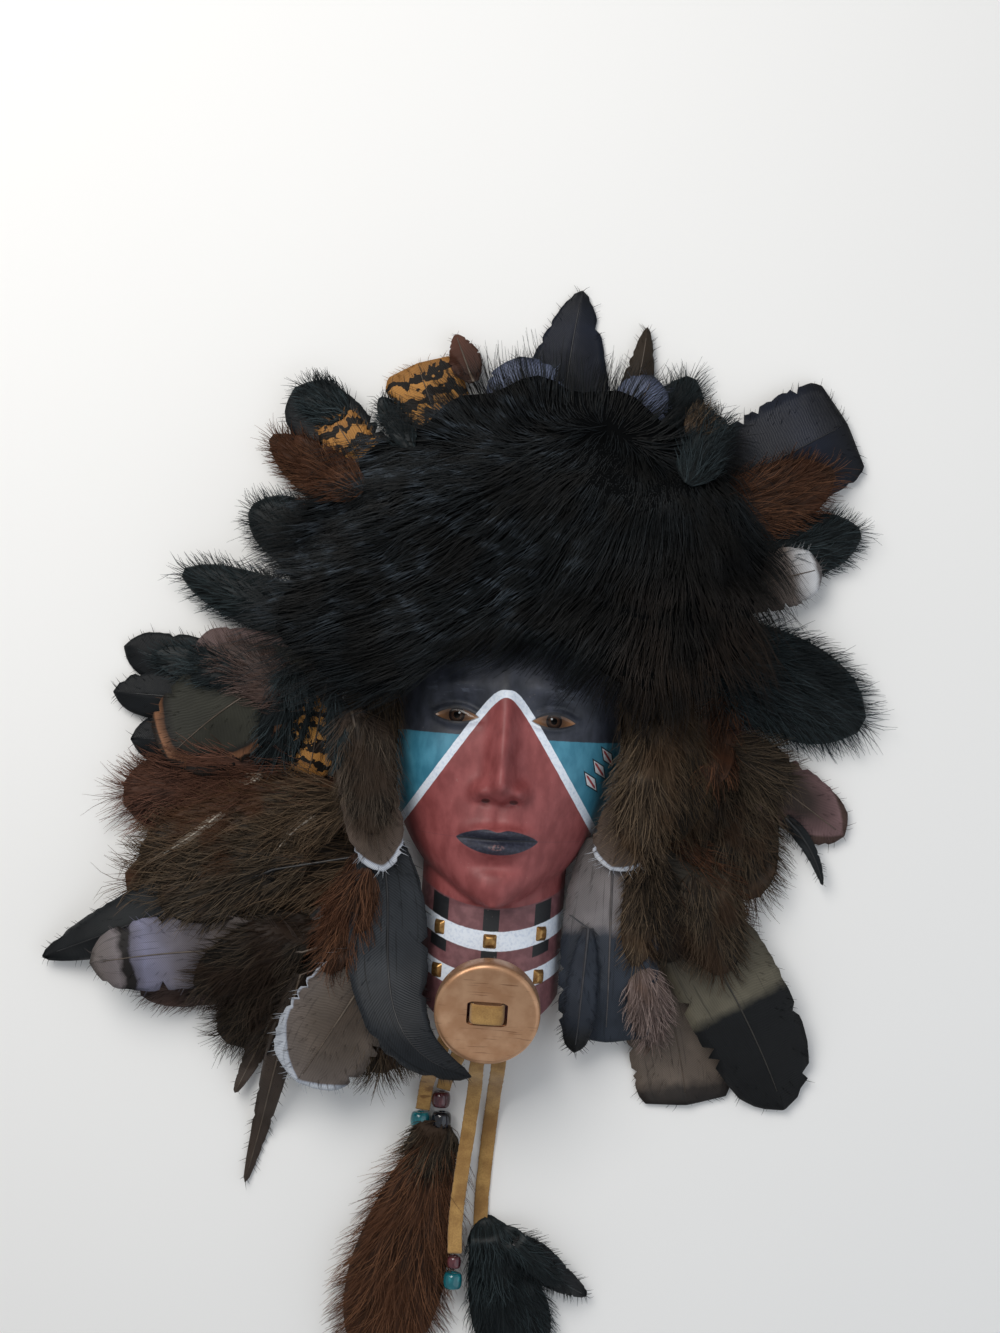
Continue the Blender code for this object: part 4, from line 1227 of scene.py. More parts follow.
@dataclass
class CeramicFace:
    """The ceramic face and neck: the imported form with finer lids, lips and nostrils, painted by zones."""

    height: float = 0.168
    half_width: float = 0.055
    face_depth: float = 0.054
    neck_half_width: float = 0.033
    neck_depth: float = 0.038
    neck_length: float = 0.059
    neck_end_rise: float = 0.018
    side_wall: float = 0.005
    front_wall: float = 0.010
    columns: int = 132
    rows: int = 213
    coarser: int = 3
    eye_x: float = 0.0215
    eye_half: float = 0.0098
    eye_upper: float = 0.0034
    eye_lower: float = 0.0024
    mouth_half: float = 0.0181
    mouth_y: float = -0.0531
    lip_upper: float = 0.0050
    lip_lower: float = 0.0066
    nose_base: float = -0.0360

    def __post_init__(self) -> None:
        """Work out the levels that follow from the sizes."""
        self.crown = self.height / 2
        self.chin = -self.height / 2
        self.widest = 0.12 * self.height
        self.neck_end = self.chin - self.neck_length
        self.jaw_meets_neck = -0.30 * self.height

    def head_half_width(self, y: Field) -> Field:
        """Give half the head's width at each level."""
        up = np.clip((y - self.widest) / (self.crown - self.widest), 0, 1)
        down = np.clip((self.widest - y) / (self.widest - self.chin), 0, 1)
        return self.half_width * np.where(y > self.widest, np.sqrt(1 - up**2.2), np.sqrt(1 - down**2.6))

    def outline(self, y: Field) -> Field:
        """Give half the ceramic's width at each level, head and neck together."""
        neck = np.where(y < self.jaw_meets_neck, self.neck_half_width, 0.0)
        return np.maximum(self.head_half_width(y), neck)

    @staticmethod
    def rounded(across: Field, depth: Field | float) -> Field:
        """Give a cross-section that is full in front and turns straight down at the sides."""
        return depth * (1 - np.clip(np.abs(across), 0, 1) ** 2.6) ** 0.45

    def bare(self, x: Field, y: Field) -> Field:
        """Give the head's and the neck's height without the face's forms."""
        up = np.clip((y - self.widest) / (self.crown - self.widest), 0, 1)
        down = np.clip((self.widest - y) / (self.widest - self.chin), 0, 1)
        middle = self.face_depth * np.where(y > self.widest, np.sqrt(1 - up**2.4), 1 - 0.10 * down**2)
        width = np.maximum(self.head_half_width(y), 1e-5)
        head = np.where((np.abs(x) < width) & (y > self.chin), self.rounded(x / width, middle), 0.0)
        neck = np.where(y < self.jaw_meets_neck, self.rounded(x / self.neck_half_width, self.neck_depth), 0.0)
        return np.maximum(head, neck)

    def forms(self, x: Field, y: Field) -> Field:
        """Give what the brow, eyes, nose, lips, cheeks and chin add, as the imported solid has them."""
        total = np.zeros_like(x)
        size = self.height
        for name, across, up, high, wide, tall in FACE_FORMS:
            rise = np.exp(-(((y - up * size) / (tall * size)) ** 2))
            if name in ("nose_tip", "nostril_wing", "nose_ridge"):
                below = np.clip((self.nose_base - y) / 0.0016, 0, 1)
                rise = rise * (1 - 0.88 * below)
            if name == "chin_ball":
                rise = np.where(y < self.chin, 0.0, rise)
            for side in ((-1, 1) if across else (1,)):
                total += high * size * rise * np.exp(-(((x - side * across * size) / (wide * size)) ** 2))
        parting = np.exp(-(((y - self.mouth_y) / (0.010 * size)) ** 2))
        total -= 0.010 * size * parting * np.clip(1 - (x / self.mouth_half) ** 4, 0, 1)
        return total

    def lip_edges(self, x: Field) -> tuple[Field, Field]:
        """Give the upper and the lower edge of the painted lips."""
        arch = np.clip(1 - (x / self.mouth_half) ** 2, 0, 1)
        dip = 1 - 0.26 * np.exp(-((x / 0.0032) ** 2))
        return self.mouth_y + self.lip_upper * arch**0.8 * dip, self.mouth_y - self.lip_lower * arch**0.75

    def fine_forms(self, x: Field, y: Field) -> Field:
        """Give the lids, the creases above them, the parting of the lips, their edges and the nostrils."""
        share = (np.abs(x) - self.eye_x) / self.eye_half
        arch = np.clip(1 - share**2, 0, 1)
        over = y - arch * self.eye_upper
        under = -arch * self.eye_lower - y
        outside = np.maximum(over, under)
        fade = np.clip((1.35 - np.abs(share)) / 0.35, 0, 1)
        lids = 0.0011 * np.exp(-(((outside - 0.0008) / 0.0008) ** 2)) * fade
        lids -= 0.0006 * np.clip(-outside / 0.0006, 0, 1) * fade
        lids -= 0.0010 * np.exp(-(((over - 0.0036) / 0.0008) ** 2)) * fade
        lids -= 0.0005 * np.exp(-(((under - 0.0034) / 0.0010) ** 2)) * fade
        upper, lower = self.lip_edges(x)
        lip_fade = np.clip(1 - (x / self.mouth_half) ** 6, 0, 1)
        bow = self.mouth_y - 0.0007 * np.exp(-((x / 0.004) ** 2))
        lips = -0.0012 * np.exp(-(((y - bow) / 0.0007) ** 2))
        lips += 0.0005 * np.exp(-(((y - upper) / 0.0006) ** 2))
        lips += 0.0004 * np.exp(-(((y - lower) / 0.0006) ** 2))
        below_nose = np.clip((self.nose_base - 0.001 - y) / 0.001, 0, 1)
        above_lip = np.clip((y - upper - 0.0005) / 0.001, 0, 1)
        groove = -0.0009 * np.exp(-((x / 0.0024) ** 2)) * (below_nose * above_lip)
        hole = ((np.abs(x) - 0.0062) / 0.0026) ** 2 + ((y - self.nose_base + 0.0002) / 0.0016) ** 2
        return lids + lips * lip_fade + groove - 0.0030 * np.exp(-hole)

    def surface(self, x: Field, y: Field) -> Field:
        """Give the ceramic's front."""
        fade = np.clip(1 - (np.abs(x) / np.maximum(self.outline(y), 1e-5)) ** 6, 0, 1)
        on_face = np.where(y < self.chin, 0.0, 1.0)
        return self.bare(x, y) + (self.forms(x, y) + self.fine_forms(x, y)) * fade * on_face

    def grid(self, inner: bool) -> np.ndarray:
        """Give the front's or the hollow's points, row by row from the crown to the neck's end.

        Args:
            inner: Whether the hollow is asked for.

        Returns:
            An array of rows, columns and the three coordinates, in metres from the face's middle.
        """
        step = self.coarser if inner else 1
        t = np.linspace(-1, 1, self.columns + 1)[::step]
        across = 1.35 * t - 0.35 * t**3
        top = self.crown - 0.001
        ahead = np.linspace(0, 1, self.rows - 1)
        levels = np.concatenate(([top, top], top - (top - self.neck_end) * ahead[1:] ** 1.06))
        levels = np.concatenate((levels, [self.neck_end]))[::step]
        rows = []
        for number, level in enumerate(levels):
            if inner:
                level = min(level, self.crown - 0.004)
            width = float(self.outline(np.array(level)))
            reach = width - (self.side_wall if inner else 0.0)
            x = across * max(reach, 0.002)
            y = np.full_like(x, level)
            end = self.neck_end_rise * np.clip(np.abs(x) / self.neck_half_width, 0, 1) ** 2
            y = np.where(y < self.chin, self.chin + (y - self.chin) * (1 - end / self.neck_length), y)
            if inner:
                z = np.maximum(self.bare(x * width / max(reach, 0.002), y) - self.front_wall, 0.0)
            else:
                z = self.surface(x, y)
            if number == 0:
                z = z * 0.0
            rows.append(np.stack((x, y, z), axis=1))
        return np.array(rows)

    @staticmethod
    def border(rows: int, columns: int) -> list[tuple[int, int]]:
        """List a grid's border points in order."""
        top = [(0, c) for c in range(columns - 1)]
        right = [(r, columns - 1) for r in range(rows - 1)]
        bottom = [(rows - 1, c) for c in range(columns - 1, 0, -1)]
        left = [(r, 0) for r in range(rows - 1, 0, -1)]
        return top + right + bottom + left

    def mesh(self) -> Mesh:
        """Build the closed shell: the front, the hollow behind it and the rim between them."""
        work = bmesh.new()
        sheets = []
        for inner in (False, True):
            places = self.grid(inner)
            sheets.append([[work.verts.new(MIDDLE + Vector(place)) for place in row] for row in places])
            for corners in cells(sheets[-1]):
                work.faces.new(corners).material_index = int(inner)
        fine, coarse = sheets
        fine_loop = [fine[r][c] for r, c in self.border(len(fine), len(fine[0]))]
        coarse_loop = [coarse[r][c] for r, c in self.border(len(coarse), len(coarse[0]))]
        for j, corner in enumerate(coarse_loop):
            after = coarse_loop[(j + 1) % len(coarse_loop)]
            f = [fine_loop[(self.coarser * j + k) % len(fine_loop)] for k in range(self.coarser + 1)]
            for rim in ((f[0], f[1], corner), (f[1], f[2], after, corner), (f[2], f[3], after)):
                work.faces.new(rim).material_index = 1
        return close_mesh("painted_face", work, 1e-6)

    def build(self) -> None:
        """Build the painted shell."""
        shell = add_piece("painted_face", self.mesh(), FacePaint(self).material, self.bare_clay())
        declare(shell, "painted_ceramic", "mask_shell")

    @staticmethod
    def bare_clay() -> Material:
        """Build the bare fired clay of the hollow and the rim.

        Returns:
            The material.
        """
        paint = Paint("bare_clay")
        grain = paint.noise(1.2, 5.0)
        paint.set("Base Color", paint.mix(grain, shade(150, 104, 78), shade(178, 134, 106)))
        paint.set("Roughness", 0.95)
        paint.bump(grain, 0.15, 0.6)
        return paint.material


@dataclass
class CollarStuds:
    """Low rounded gold studs in two rows on the collar, raised on the casting."""

    width: float = 0.0084
    length: float = 0.0090
    rise: float = 0.0016
    top_share: float = 0.42
    rounding: float = 0.0007
    spacing: float = 0.0230
    curve: float = 0.0042
    probe: float = 0.001
    rows: tuple = ((0.0158, (-1, 0, 1)), (0.0352, (-1, 1)))

    def build(self, face: CeramicFace) -> None:
        """Set the studs.

        Args:
            face: The face whose neck they lie on.
        """
        for row, (drop, places) in enumerate(self.rows):
            for place in places:
                y = face.chin - drop + self.curve * place**2
                self.stud(f"collar_stud_{row}_{place + 1}", face, place * self.spacing, y)

    def stud(self, name: str, face: CeramicFace, x: float, y: float) -> None:
        """Set one stud.

        Args:
            name: The stud's name.
            face: The face whose neck it lies on.
            x: Its place across, in metres from the face's middle.
            y: Its place along, in metres from the face's middle.
        """
        high = float(face.bare(np.array(x), np.array(y)))
        slope = (float(face.bare(np.array(x + self.probe), np.array(y))) - high) / self.probe
        corner = math.sqrt(0.5)
        work = bmesh.new()
        bmesh.ops.create_cone(work, cap_ends=True, segments=4, depth=1.0, radius1=corner,
                              radius2=self.top_share * corner)
        turned = Matrix.Rotation(math.radians(45), 4, "Z")
        sized = Matrix.Diagonal((self.width, self.length, self.rise * 2, 1.0))
        bmesh.ops.transform(work, matrix=sized @ turned, verts=work.verts)
        bmesh.ops.bevel(work, geom=list(work.edges), offset=self.rounding, segments=3, affect="EDGES",
                        profile=0.5)
        leant = Matrix.Rotation(-math.atan(slope), 4, "Y")
        set_down = Matrix.Translation(MIDDLE + Vector((x, y, high))) @ leant
        bmesh.ops.transform(work, matrix=set_down, verts=work.verts)
        declare(add_piece(name, close_mesh(name, work), self.gold()), "metallic_paint")

    @staticmethod
    @cache
    def gold() -> Material:
        """Build hand-brushed gold paint once.

        Returns:
            The material.
        """
        paint = Paint("stud_gold")
        worn = paint.noise(2.2, 4.0).rise(0.4, 0.7)
        paint.set("Base Color", paint.mix(worn, shade(176, 138, 86), shade(126, 88, 50)))
        paint.set("Metallic", 0.85)
        paint.set("Roughness", worn * 0.25 + 0.3)
        return paint.material


class FacePaint(Paint):
    """The ceramic's painted front, laid coat over coat, in millimetres from the middle of the face."""

    colour: Tint

    def __init__(self, face: CeramicFace) -> None:
        """Paint the zones, then the eyes, the mouth, the collar and the cheek over them.

        Args:
            face: The face whose sizes place them.
        """
        super().__init__("ceramic_zones")
        self.face = face
        self.x, self.y, _ = self.place()
        self.wide = self.x.size()
        self.brush = self.noise(5.0, 4.0, (1.0, 0.5, 1.0))
        self.fleck = self.noise(1.3, 4.0)
        self.edge = (self.noise(2.2, 3.0) - 0.5) * 0.5
        self.white = self.mix(self.fleck.rise(0.4, 0.8), shade(224, 232, 242), shade(196, 208, 226))
        self.paint_zones()
        self.paint_eyes()
        self.paint_mouth()
        self.paint_collar()
        self.paint_cheek()
        scuff = self.fleck.rise(0.66, 0.74) * self.brush.rise(0.45, 0.65)
        self.lay(scuff * 0.25, shade(176, 160, 150))
        self.set("Base Color", self.colour)
        self.set("Roughness", (self.fleck * 0.22 + 0.44) - self.eye_opening() * 0.34)
        self.bump(self.brush + self.fleck * 0.6, 0.10, 0.5)

    def lay(self, share: Term, tint: Tint) -> None:
        """Lay a colour over what is painted so far.

        Args:
            share: How much of it covers, place by place.
            tint: The colour.
        """
        self.colour = self.mix(share, self.colour, tint)

    def paint_zones(self) -> None:
        """Paint a dark brow over teal, a red wedge with a white edge down to the chin, and paler blue-grey
        streaks over both brows.
        """
        worn = self.brush.rise(0.3, 0.7)
        teal = self.mix(worn, shade(48, 114, 138), shade(70, 138, 162))
        night = self.mix(self.brush.rise(0.3, 0.75), shade(34, 38, 47), shade(56, 60, 72))
        self.colour = self.mix((self.y + self.edge).rise(-8.2, -7.8), teal, night)
        across = self.wide * self.wide
        steep = (across / (across + 27.2) + 0.4).power(0.5)
        reach = ((-self.y + 17.85) * 0.6325 - (across + 27.2).power(0.5)) / steep + self.edge * 0.6
        self.lay(reach.rise(-3.45, -3.2), self.white)
        self.lay(reach.rise(-0.12, 0.12), self.mix(worn, shade(124, 58, 58), shade(146, 76, 76)))
        # Paler blue-grey streaks laid over both brows.
        haze = (self.wide - 24.0).size() * -0.055 + ((self.y - 13.0).size() * -0.12) + 1.1
        streaks = self.noise(3.4, 4.0, (0.6, 1.6, 1.0)).rise(0.52, 0.70)
        self.lay(haze.rise(0.0, 1.0) * streaks * 0.55, shade(108, 116, 132))

    def eye_opening(self) -> Term:
        """Give one inside the almond of either eye and zero outside."""
        face, y = self.face, self.y
        share = (self.wide - face.eye_x / MM) / (face.eye_half / MM)
        arch = (-(share * share) + 1.0).most(0.0)
        inside = (arch * (face.eye_upper / MM) - y).least(y + arch * (face.eye_lower / MM))
        return inside.rise(-0.02, 0.22)

    def paint_eyes(self) -> None:
        """Paint tan eyes with a dark iris and a painted highlight, and a dark line round each opening."""
        face, y = self.face, self.y
        across = self.wide - face.eye_x / MM
        share = across / (face.eye_half / MM)
        arch = (-(share * share) + 1.08).most(0.0)
        rim = (arch * (face.eye_upper / MM + 0.9) - y).least(y + arch * (face.eye_lower / MM + 0.8))
        self.lay(rim.rise(-0.1, 0.4) * 0.75, shade(20, 21, 26))
        away = (across * across + (y - 0.5) * (y - 0.5)).power(0.5)
        ball = self.mix(share.size().rise(0.35, 0.95), shade(84, 62, 48), shade(138, 100, 70))
        iris = self.mix((away / 3.4).rise(0.35, 0.95), shade(62, 44, 34), shade(24, 20, 20))
        ball = self.mix(away.rise(3.75, 3.4), ball, iris)
        ball = self.mix(away.rise(1.6, 1.35), ball, shade(8, 8, 9))
        # A painted highlight on each eye.
        glint = ((across + 1.1) * (across + 1.1) + (y - 1.5) * (y - 1.5)).power(0.5).rise(0.55, 0.35)
        self.lay(self.eye_opening(), self.mix(glint * 0.8, ball, shade(190, 196, 200)))

    def paint_mouth(self) -> None:
        """Paint dark blue lips with a paler patch in the middle of the lower lip, painted shade along their
        parting, and painted shade in the nostrils.
        """
        face, x = self.face, self.x
        share = x / (face.mouth_half / MM)
        arch = (-(share * share) + 1.0).most(0.0)
        bow = -((x / 3.2).power(2.0) * -1.0).math("EXPONENT") * 0.26 + 1.0
        level = self.y - face.mouth_y / MM
        over = arch.power(0.8) * bow * (face.lip_upper / MM) - level
        inside = over.least(level + arch.power(0.75) * (face.lip_lower / MM))
        navy = self.mix(self.fleck.rise(0.4, 0.7), shade(36, 38, 52), shade(54, 56, 72))
        self.lay(inside.rise(-0.15, 0.15), navy)
        # A paler pinkish patch in the middle of the lower lip.
        lower_lip_patch = (x / 4.0).power(2.0) + ((level + 3.2) / 1.5).power(2.0)
        self.lay(lower_lip_patch.rise(1.1, 0.3) * self.fleck.rise(0.40, 0.60) * 0.7, shade(132, 96, 94))
        # Painted shade along the parting of the lips.
        self.lay(level.size().rise(0.5, 0.15) * inside.rise(0.0, 0.6) * 0.8, shade(14, 14, 20))
        # Painted shade in the hollow nostrils.
        under = (self.y - (face.nose_base / MM - 0.2)) / 1.1
        hole = ((self.wide - 6.2) / 2.0).power(2.0) + under.power(2.0)
        self.lay(hole.rise(1.3, 0.6) * 0.75, shade(40, 18, 18))

    def paint_collar(self) -> None:
        """Paint the collar: maroon ground, two curved white bands and black strips under the studs."""
        turns = self.x / 23.0
        level = self.y - turns.power(2.0) * 4.6 + self.edge
        ground = self.mix(self.noise(4.0, 4.0).rise(0.35, 0.7), shade(104, 66, 70), shade(126, 84, 88))
        self.lay(level.rise(-84.6, -85.2), ground)
        nearest = (turns - turns.math("ROUND")) * 23.0
        strip = nearest.within(0.0, 3.6, 0.3) * self.wide.rise(30.0, 29.0)
        self.lay(strip * level.within(-97.6, 12.0, 0.4), shade(22, 24, 28))
        for middle, half in ((-99.8, 4.4), (-119.0, 4.0)):
            self.lay(level.within(middle, half, 0.4), self.white)

    def paint_cheek(self) -> None:
        """Paint three small slanted lozenges on the right cheek."""
        for number in range(3):
            dx, dy = self.x - (40.0 + 3.6 * number), self.y + (25.5 - 5.6 * number)
            across, along = dx * 0.80 + dy * 0.60, dy * 0.80 - dx * 0.60
            spread = across.size() / 2.3 + along.size() / 5.4
            self.lay(spread.rise(1.22, 1.10), shade(20, 20, 24))
            self.lay(spread.rise(0.98, 0.88), shade(226, 228, 232))
            self.lay(across.size().rise(0.55, 0.40) * spread.rise(0.80, 0.70), shade(166, 70, 74))


@dataclass
class ThroatDisc:
    """The slotted disc at the throat and the lace across its bar."""

    radius: float = 0.0235
    thickness: float = 0.010
    edge: float = 0.0022
    dish: float = 0.0016
    lean: float = math.radians(13.0)
    place: tuple = (1.0, -127.0)
    boss_radius: float = 0.005
    boss_height: float = 0.005
    window: tuple = (0.0180, 0.0112)
    slot: tuple = (0.003, 0.0100)
    bar: float = 0.012
    sides: int = 160
    neck_depth: float = 0.038
    gap: float = 0.0003
    strap_half_width: float = 0.0046
    strap_half_thickness: float = 0.0007
    pocket_depth: float = 0.0026

    def seat(self) -> Matrix:
        """Give where the disc sits on the throat."""
        high = self.neck_depth + self.gap + self.boss_radius * math.sin(self.lean)
        return Matrix.Translation(at(*self.place, high / MM)) @ Matrix.Rotation(self.lean, 4, "X")

    def cutter(self, name: str, size: Sequence[float], middle: Sequence[float], corner: float) -> Object:
        """Make a box with cut corners that is taken out of the disc.

        Args:
            name: Its name.
            size: Its width, height and depth.
            middle: Its middle in the disc's own frame.
            corner: How much is cut off its upright edges.

        Returns:
            The cutter.
        """
        work = bmesh.new()
        bmesh.ops.create_cube(work, size=1.0)
        bmesh.ops.transform(work, matrix=Matrix.Diagonal((*size, 1.0)), verts=work.verts)
        upright = [e for e in work.edges if abs(e.verts[0].co.z - e.verts[1].co.z) > size[2] / 2]
        bmesh.ops.bevel(work, geom=upright, offset=corner, segments=2, affect="EDGES", profile=0.5)
        bmesh.ops.transform(work, matrix=Matrix.Translation(middle), verts=work.verts)
        return add_piece(name, close_mesh(name, work))

    def build(self) -> None:
        """Build the disc and the lace across it."""
        back, front = self.boss_height, self.boss_height + self.thickness
        flat = self.radius - self.edge
        profile = [(0.0, front - self.dish)]
        for share in np.linspace(0.1, 1.0, 16):
            profile.append((flat * share, front - self.dish * (1 - share**2.6)))
        for turn in np.linspace(80, 0, 9):
            lean = math.radians(turn)
            profile.append((flat + self.edge * math.cos(lean), front - self.edge * (1 - math.sin(lean))))
        profile += [(self.radius, back + self.edge * 0.5),
                    (self.radius - self.edge * 0.15, back + self.edge * 0.15),
                    (self.radius - self.edge * 0.5, back), (self.boss_radius, back), (self.boss_radius, 0.0),
                    (0.0, 0.0)]
        work = bmesh.new()
        rings = []
        for turn in np.linspace(0, 2 * math.pi, self.sides, endpoint=False):
            rings.append([work.verts.new((r * math.cos(turn), r * math.sin(turn), z)) for r, z in profile])
        for a, b, c, d in cells([*rings, rings[0]]):
            work.faces.new((a, d, c, b))
        bmesh.ops.remove_doubles(work, verts=work.verts, dist=1e-7)
        bmesh.ops.dissolve_degenerate(work, edges=work.edges, dist=1e-8)
        disc = add_piece("copper_disc", close_mesh("copper_disc", work))
        pocket = (*self.window, self.pocket_depth * 2)
        cutters = [self.cutter("window_cut", pocket, (0.0, 0.0, front), 0.0022)]
        for side in (-1, 1):
            middle = (side * (self.bar + self.slot[0]) / 2, 0.0, front - self.thickness / 2)
            cutters.append(self.cutter(f"slot_cut_{side}", (*self.slot, self.thickness * 2), middle, 0.0008))
        for cutter in cutters:
            cut = disc.modifiers.new("cut", "BOOLEAN")
            cut.object = cutter
            cut.solver = "EXACT"
        mesh = applied(disc)
        for cutter in cutters:
            bpy.data.objects.remove(cutter)
        mesh.transform(self.seat())
        mesh.materials.clear()
        mesh.materials.append(self.copper())
        mesh.shade_smooth()
        mesh.set_sharp_from_angle(angle=math.radians(35))
        disc.data = mesh
        declare(disc, "metallic_paint", "throat_disc")
        self.build_strap(front)

    def build_strap(self, front: float) -> None:
        """Build the lace that crosses the disc's window and dips into both slots.

        Args:
            front: How high the disc's face is in its own frame.
        """
        inner = self.bar / 2 + self.gap + 0.00075
        top = front - self.dish * 0.4
        half = [(inner, front - self.thickness), (inner, top - 0.0030), (inner - 0.0004, top - 0.0014),
                (inner - 0.0016, top)]
        route = [(-x, 0, z) for x, z in half] + [(0, 0, top + 0.0004)] + [(x, 0, z) for x, z in half[::-1]]
        work = bmesh.new()
        rings = []
        places = smooth_route([Vector(place) for place in route], 70)
        side = Vector((0.0, 1.0, 0.0))
        for i, point in enumerate(places):
            ahead = (places[min(i + 1, len(places) - 1)] - places[max(i - 1, 0)]).normalized()
            up = ahead.cross(side) * self.strap_half_thickness
            rings.append(Laces.section(work, point, side * self.strap_half_width, up, 0.6))
        skin(work, rings)
        mesh = close_mesh("disc_strap", work)
        mesh.transform(self.seat())
        declare(add_piece("disc_strap", mesh, Laces.suede(False)), "suede_lace", "lace_bridge")

    @staticmethod
    def copper() -> Material:
        """Build satin copper with fine scratches and a few tarnish marks.

        Returns:
            The material.
        """
        paint = Paint("copper_disc_finish")
        cloud = paint.noise(8.0, 4.0)
        scratch = paint.noise(1.6, 3.0, (0.25, 3.0, 1.0)).rise(0.62, 0.70)
        hair = paint.noise(2.4, 2.0, (0.12, 4.0, 1.0)).rise(0.66, 0.69)
        colour = paint.mix(cloud.rise(0.3, 0.7), shade(202, 160, 126), shade(180, 136, 102))
        colour = paint.mix(hair * 0.6, colour, shade(110, 74, 52))
        paint.set("Base Color", colour)
        paint.set("Metallic", 0.72)
        paint.set("Roughness", scratch * 0.12 + cloud * 0.16 + 0.32)
        paint.bump(scratch * -1.0 + 1.0, 0.04, 0.4)
        return paint.material


SHAPES = {
    "round": (0.30, 0.62, 0.90, 1.00, 0.97, 0.76, 0.34),
    "point": (0.30, 0.66, 0.95, 1.00, 0.72, 0.40, 0.10),
    "square": (0.30, 0.60, 0.86, 0.97, 1.00, 0.98, 0.78),
    "spike": (0.60, 0.90, 1.00, 0.85, 0.62, 0.38, 0.16),
    "down": (0.62, 0.86, 0.98, 1.00, 0.93, 0.76, 0.40),
    "wisp": (0.40, 0.72, 0.95, 1.00, 0.90, 0.66, 0.30),
    "plume": (0.30, 0.62, 0.84, 1.00, 1.00, 0.80, 0.40),
}
STATIONS = (0.0, 0.14, 0.33, 0.54, 0.75, 0.91, 1.0)


@dataclass(frozen=True)
class Lie:
    """Where a feather lies: its root and tip in millimetres, its width, shape and bow, late or even."""

    name: str
    root: tuple
    tip: tuple
    width: float
    shape: str
    bow: float = 0.0
    late: float = 0.0

    @property
    def packed(self) -> bool:
        """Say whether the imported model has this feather, or it is laid over the others."""
        return self.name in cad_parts

    def rows(self, stations: Field) -> tuple[np.ndarray, np.ndarray, Field]:
        """Give the middle line in plan, the way ahead at each station and half the width there.

        Args:
            stations: Shares of the length, 0 at the root and 1 at the tip.

        Returns:
            The middle's places, the unit ways ahead and the half widths, in metres.
        """
        root, tip = np.array(at(*self.root))[:2], np.array(at(*self.tip))[:2]
        run = tip - root
        side = np.array([-run[1], run[0]]) / np.linalg.norm(run)
        bend = 4 * stations * (1 - stations) * (1 + self.late * (2 * stations - 1))
        middle = root + stations[:, None] * run + bend[:, None] * side * self.bow * MM
        ahead = np.gradient(middle, axis=0)
        ahead /= np.linalg.norm(ahead, axis=1)[:, None]
        for i, share in enumerate(stations):
            for _ in range(100 if share < 0.5 and self.packed else 0):
                if SOLIDS.hits(self.name, *middle[i]):
                    break
                middle[i] += ahead[i] * 0.0006
        dense = np.interp(np.linspace(-0.05, 1.05, 111), STATIONS, SHAPES[self.shape])
        soft = np.convolve(np.pad(dense, 4, mode="edge"), np.ones(9) / 9, mode="valid")
        half = np.interp(stations, np.linspace(-0.05, 1.05, 111), soft) * self.width * MM / 2
        return middle, ahead, half


def smoothed(table: np.ndarray, reach: int) -> np.ndarray:
    """Even out each column of a table.

    Args:
        table: The table.
        reach: How many rows before and after each one count.

    Returns:
        The table with each number turned into the mean of those about it.
    """
    kernel = np.ones(2 * reach + 1) / (2 * reach + 1)
    padded = np.pad(table, ((reach, reach), (0, 0)), mode="edge")
    return np.stack([np.convolve(column, kernel, "valid") for column in padded.T], axis=1)


def marked(work: BMesh) -> dict:
    """Add the attributes that strands and vanes read to a mesh at work.

    Args:
        work: The mesh at work.

    Returns:
        The attributes' layers by name.
    """
    vectors = {name: work.verts.layers.float_vector.new(name) for name in ("flow", "place")}
    numbers = {name: work.verts.layers.float.new(name) for name in ("cover", "reach", "tone", "along")}
    return vectors | numbers


def mark(vertex: BMVert, layers: dict, **values: object) -> None:
    """Set a point's attributes.

    Args:
        vertex: The point.
        layers: The attributes' layers by name.
        **values: The values by name.
    """
    for name, value in values.items():
        vertex[layers[name]] = value


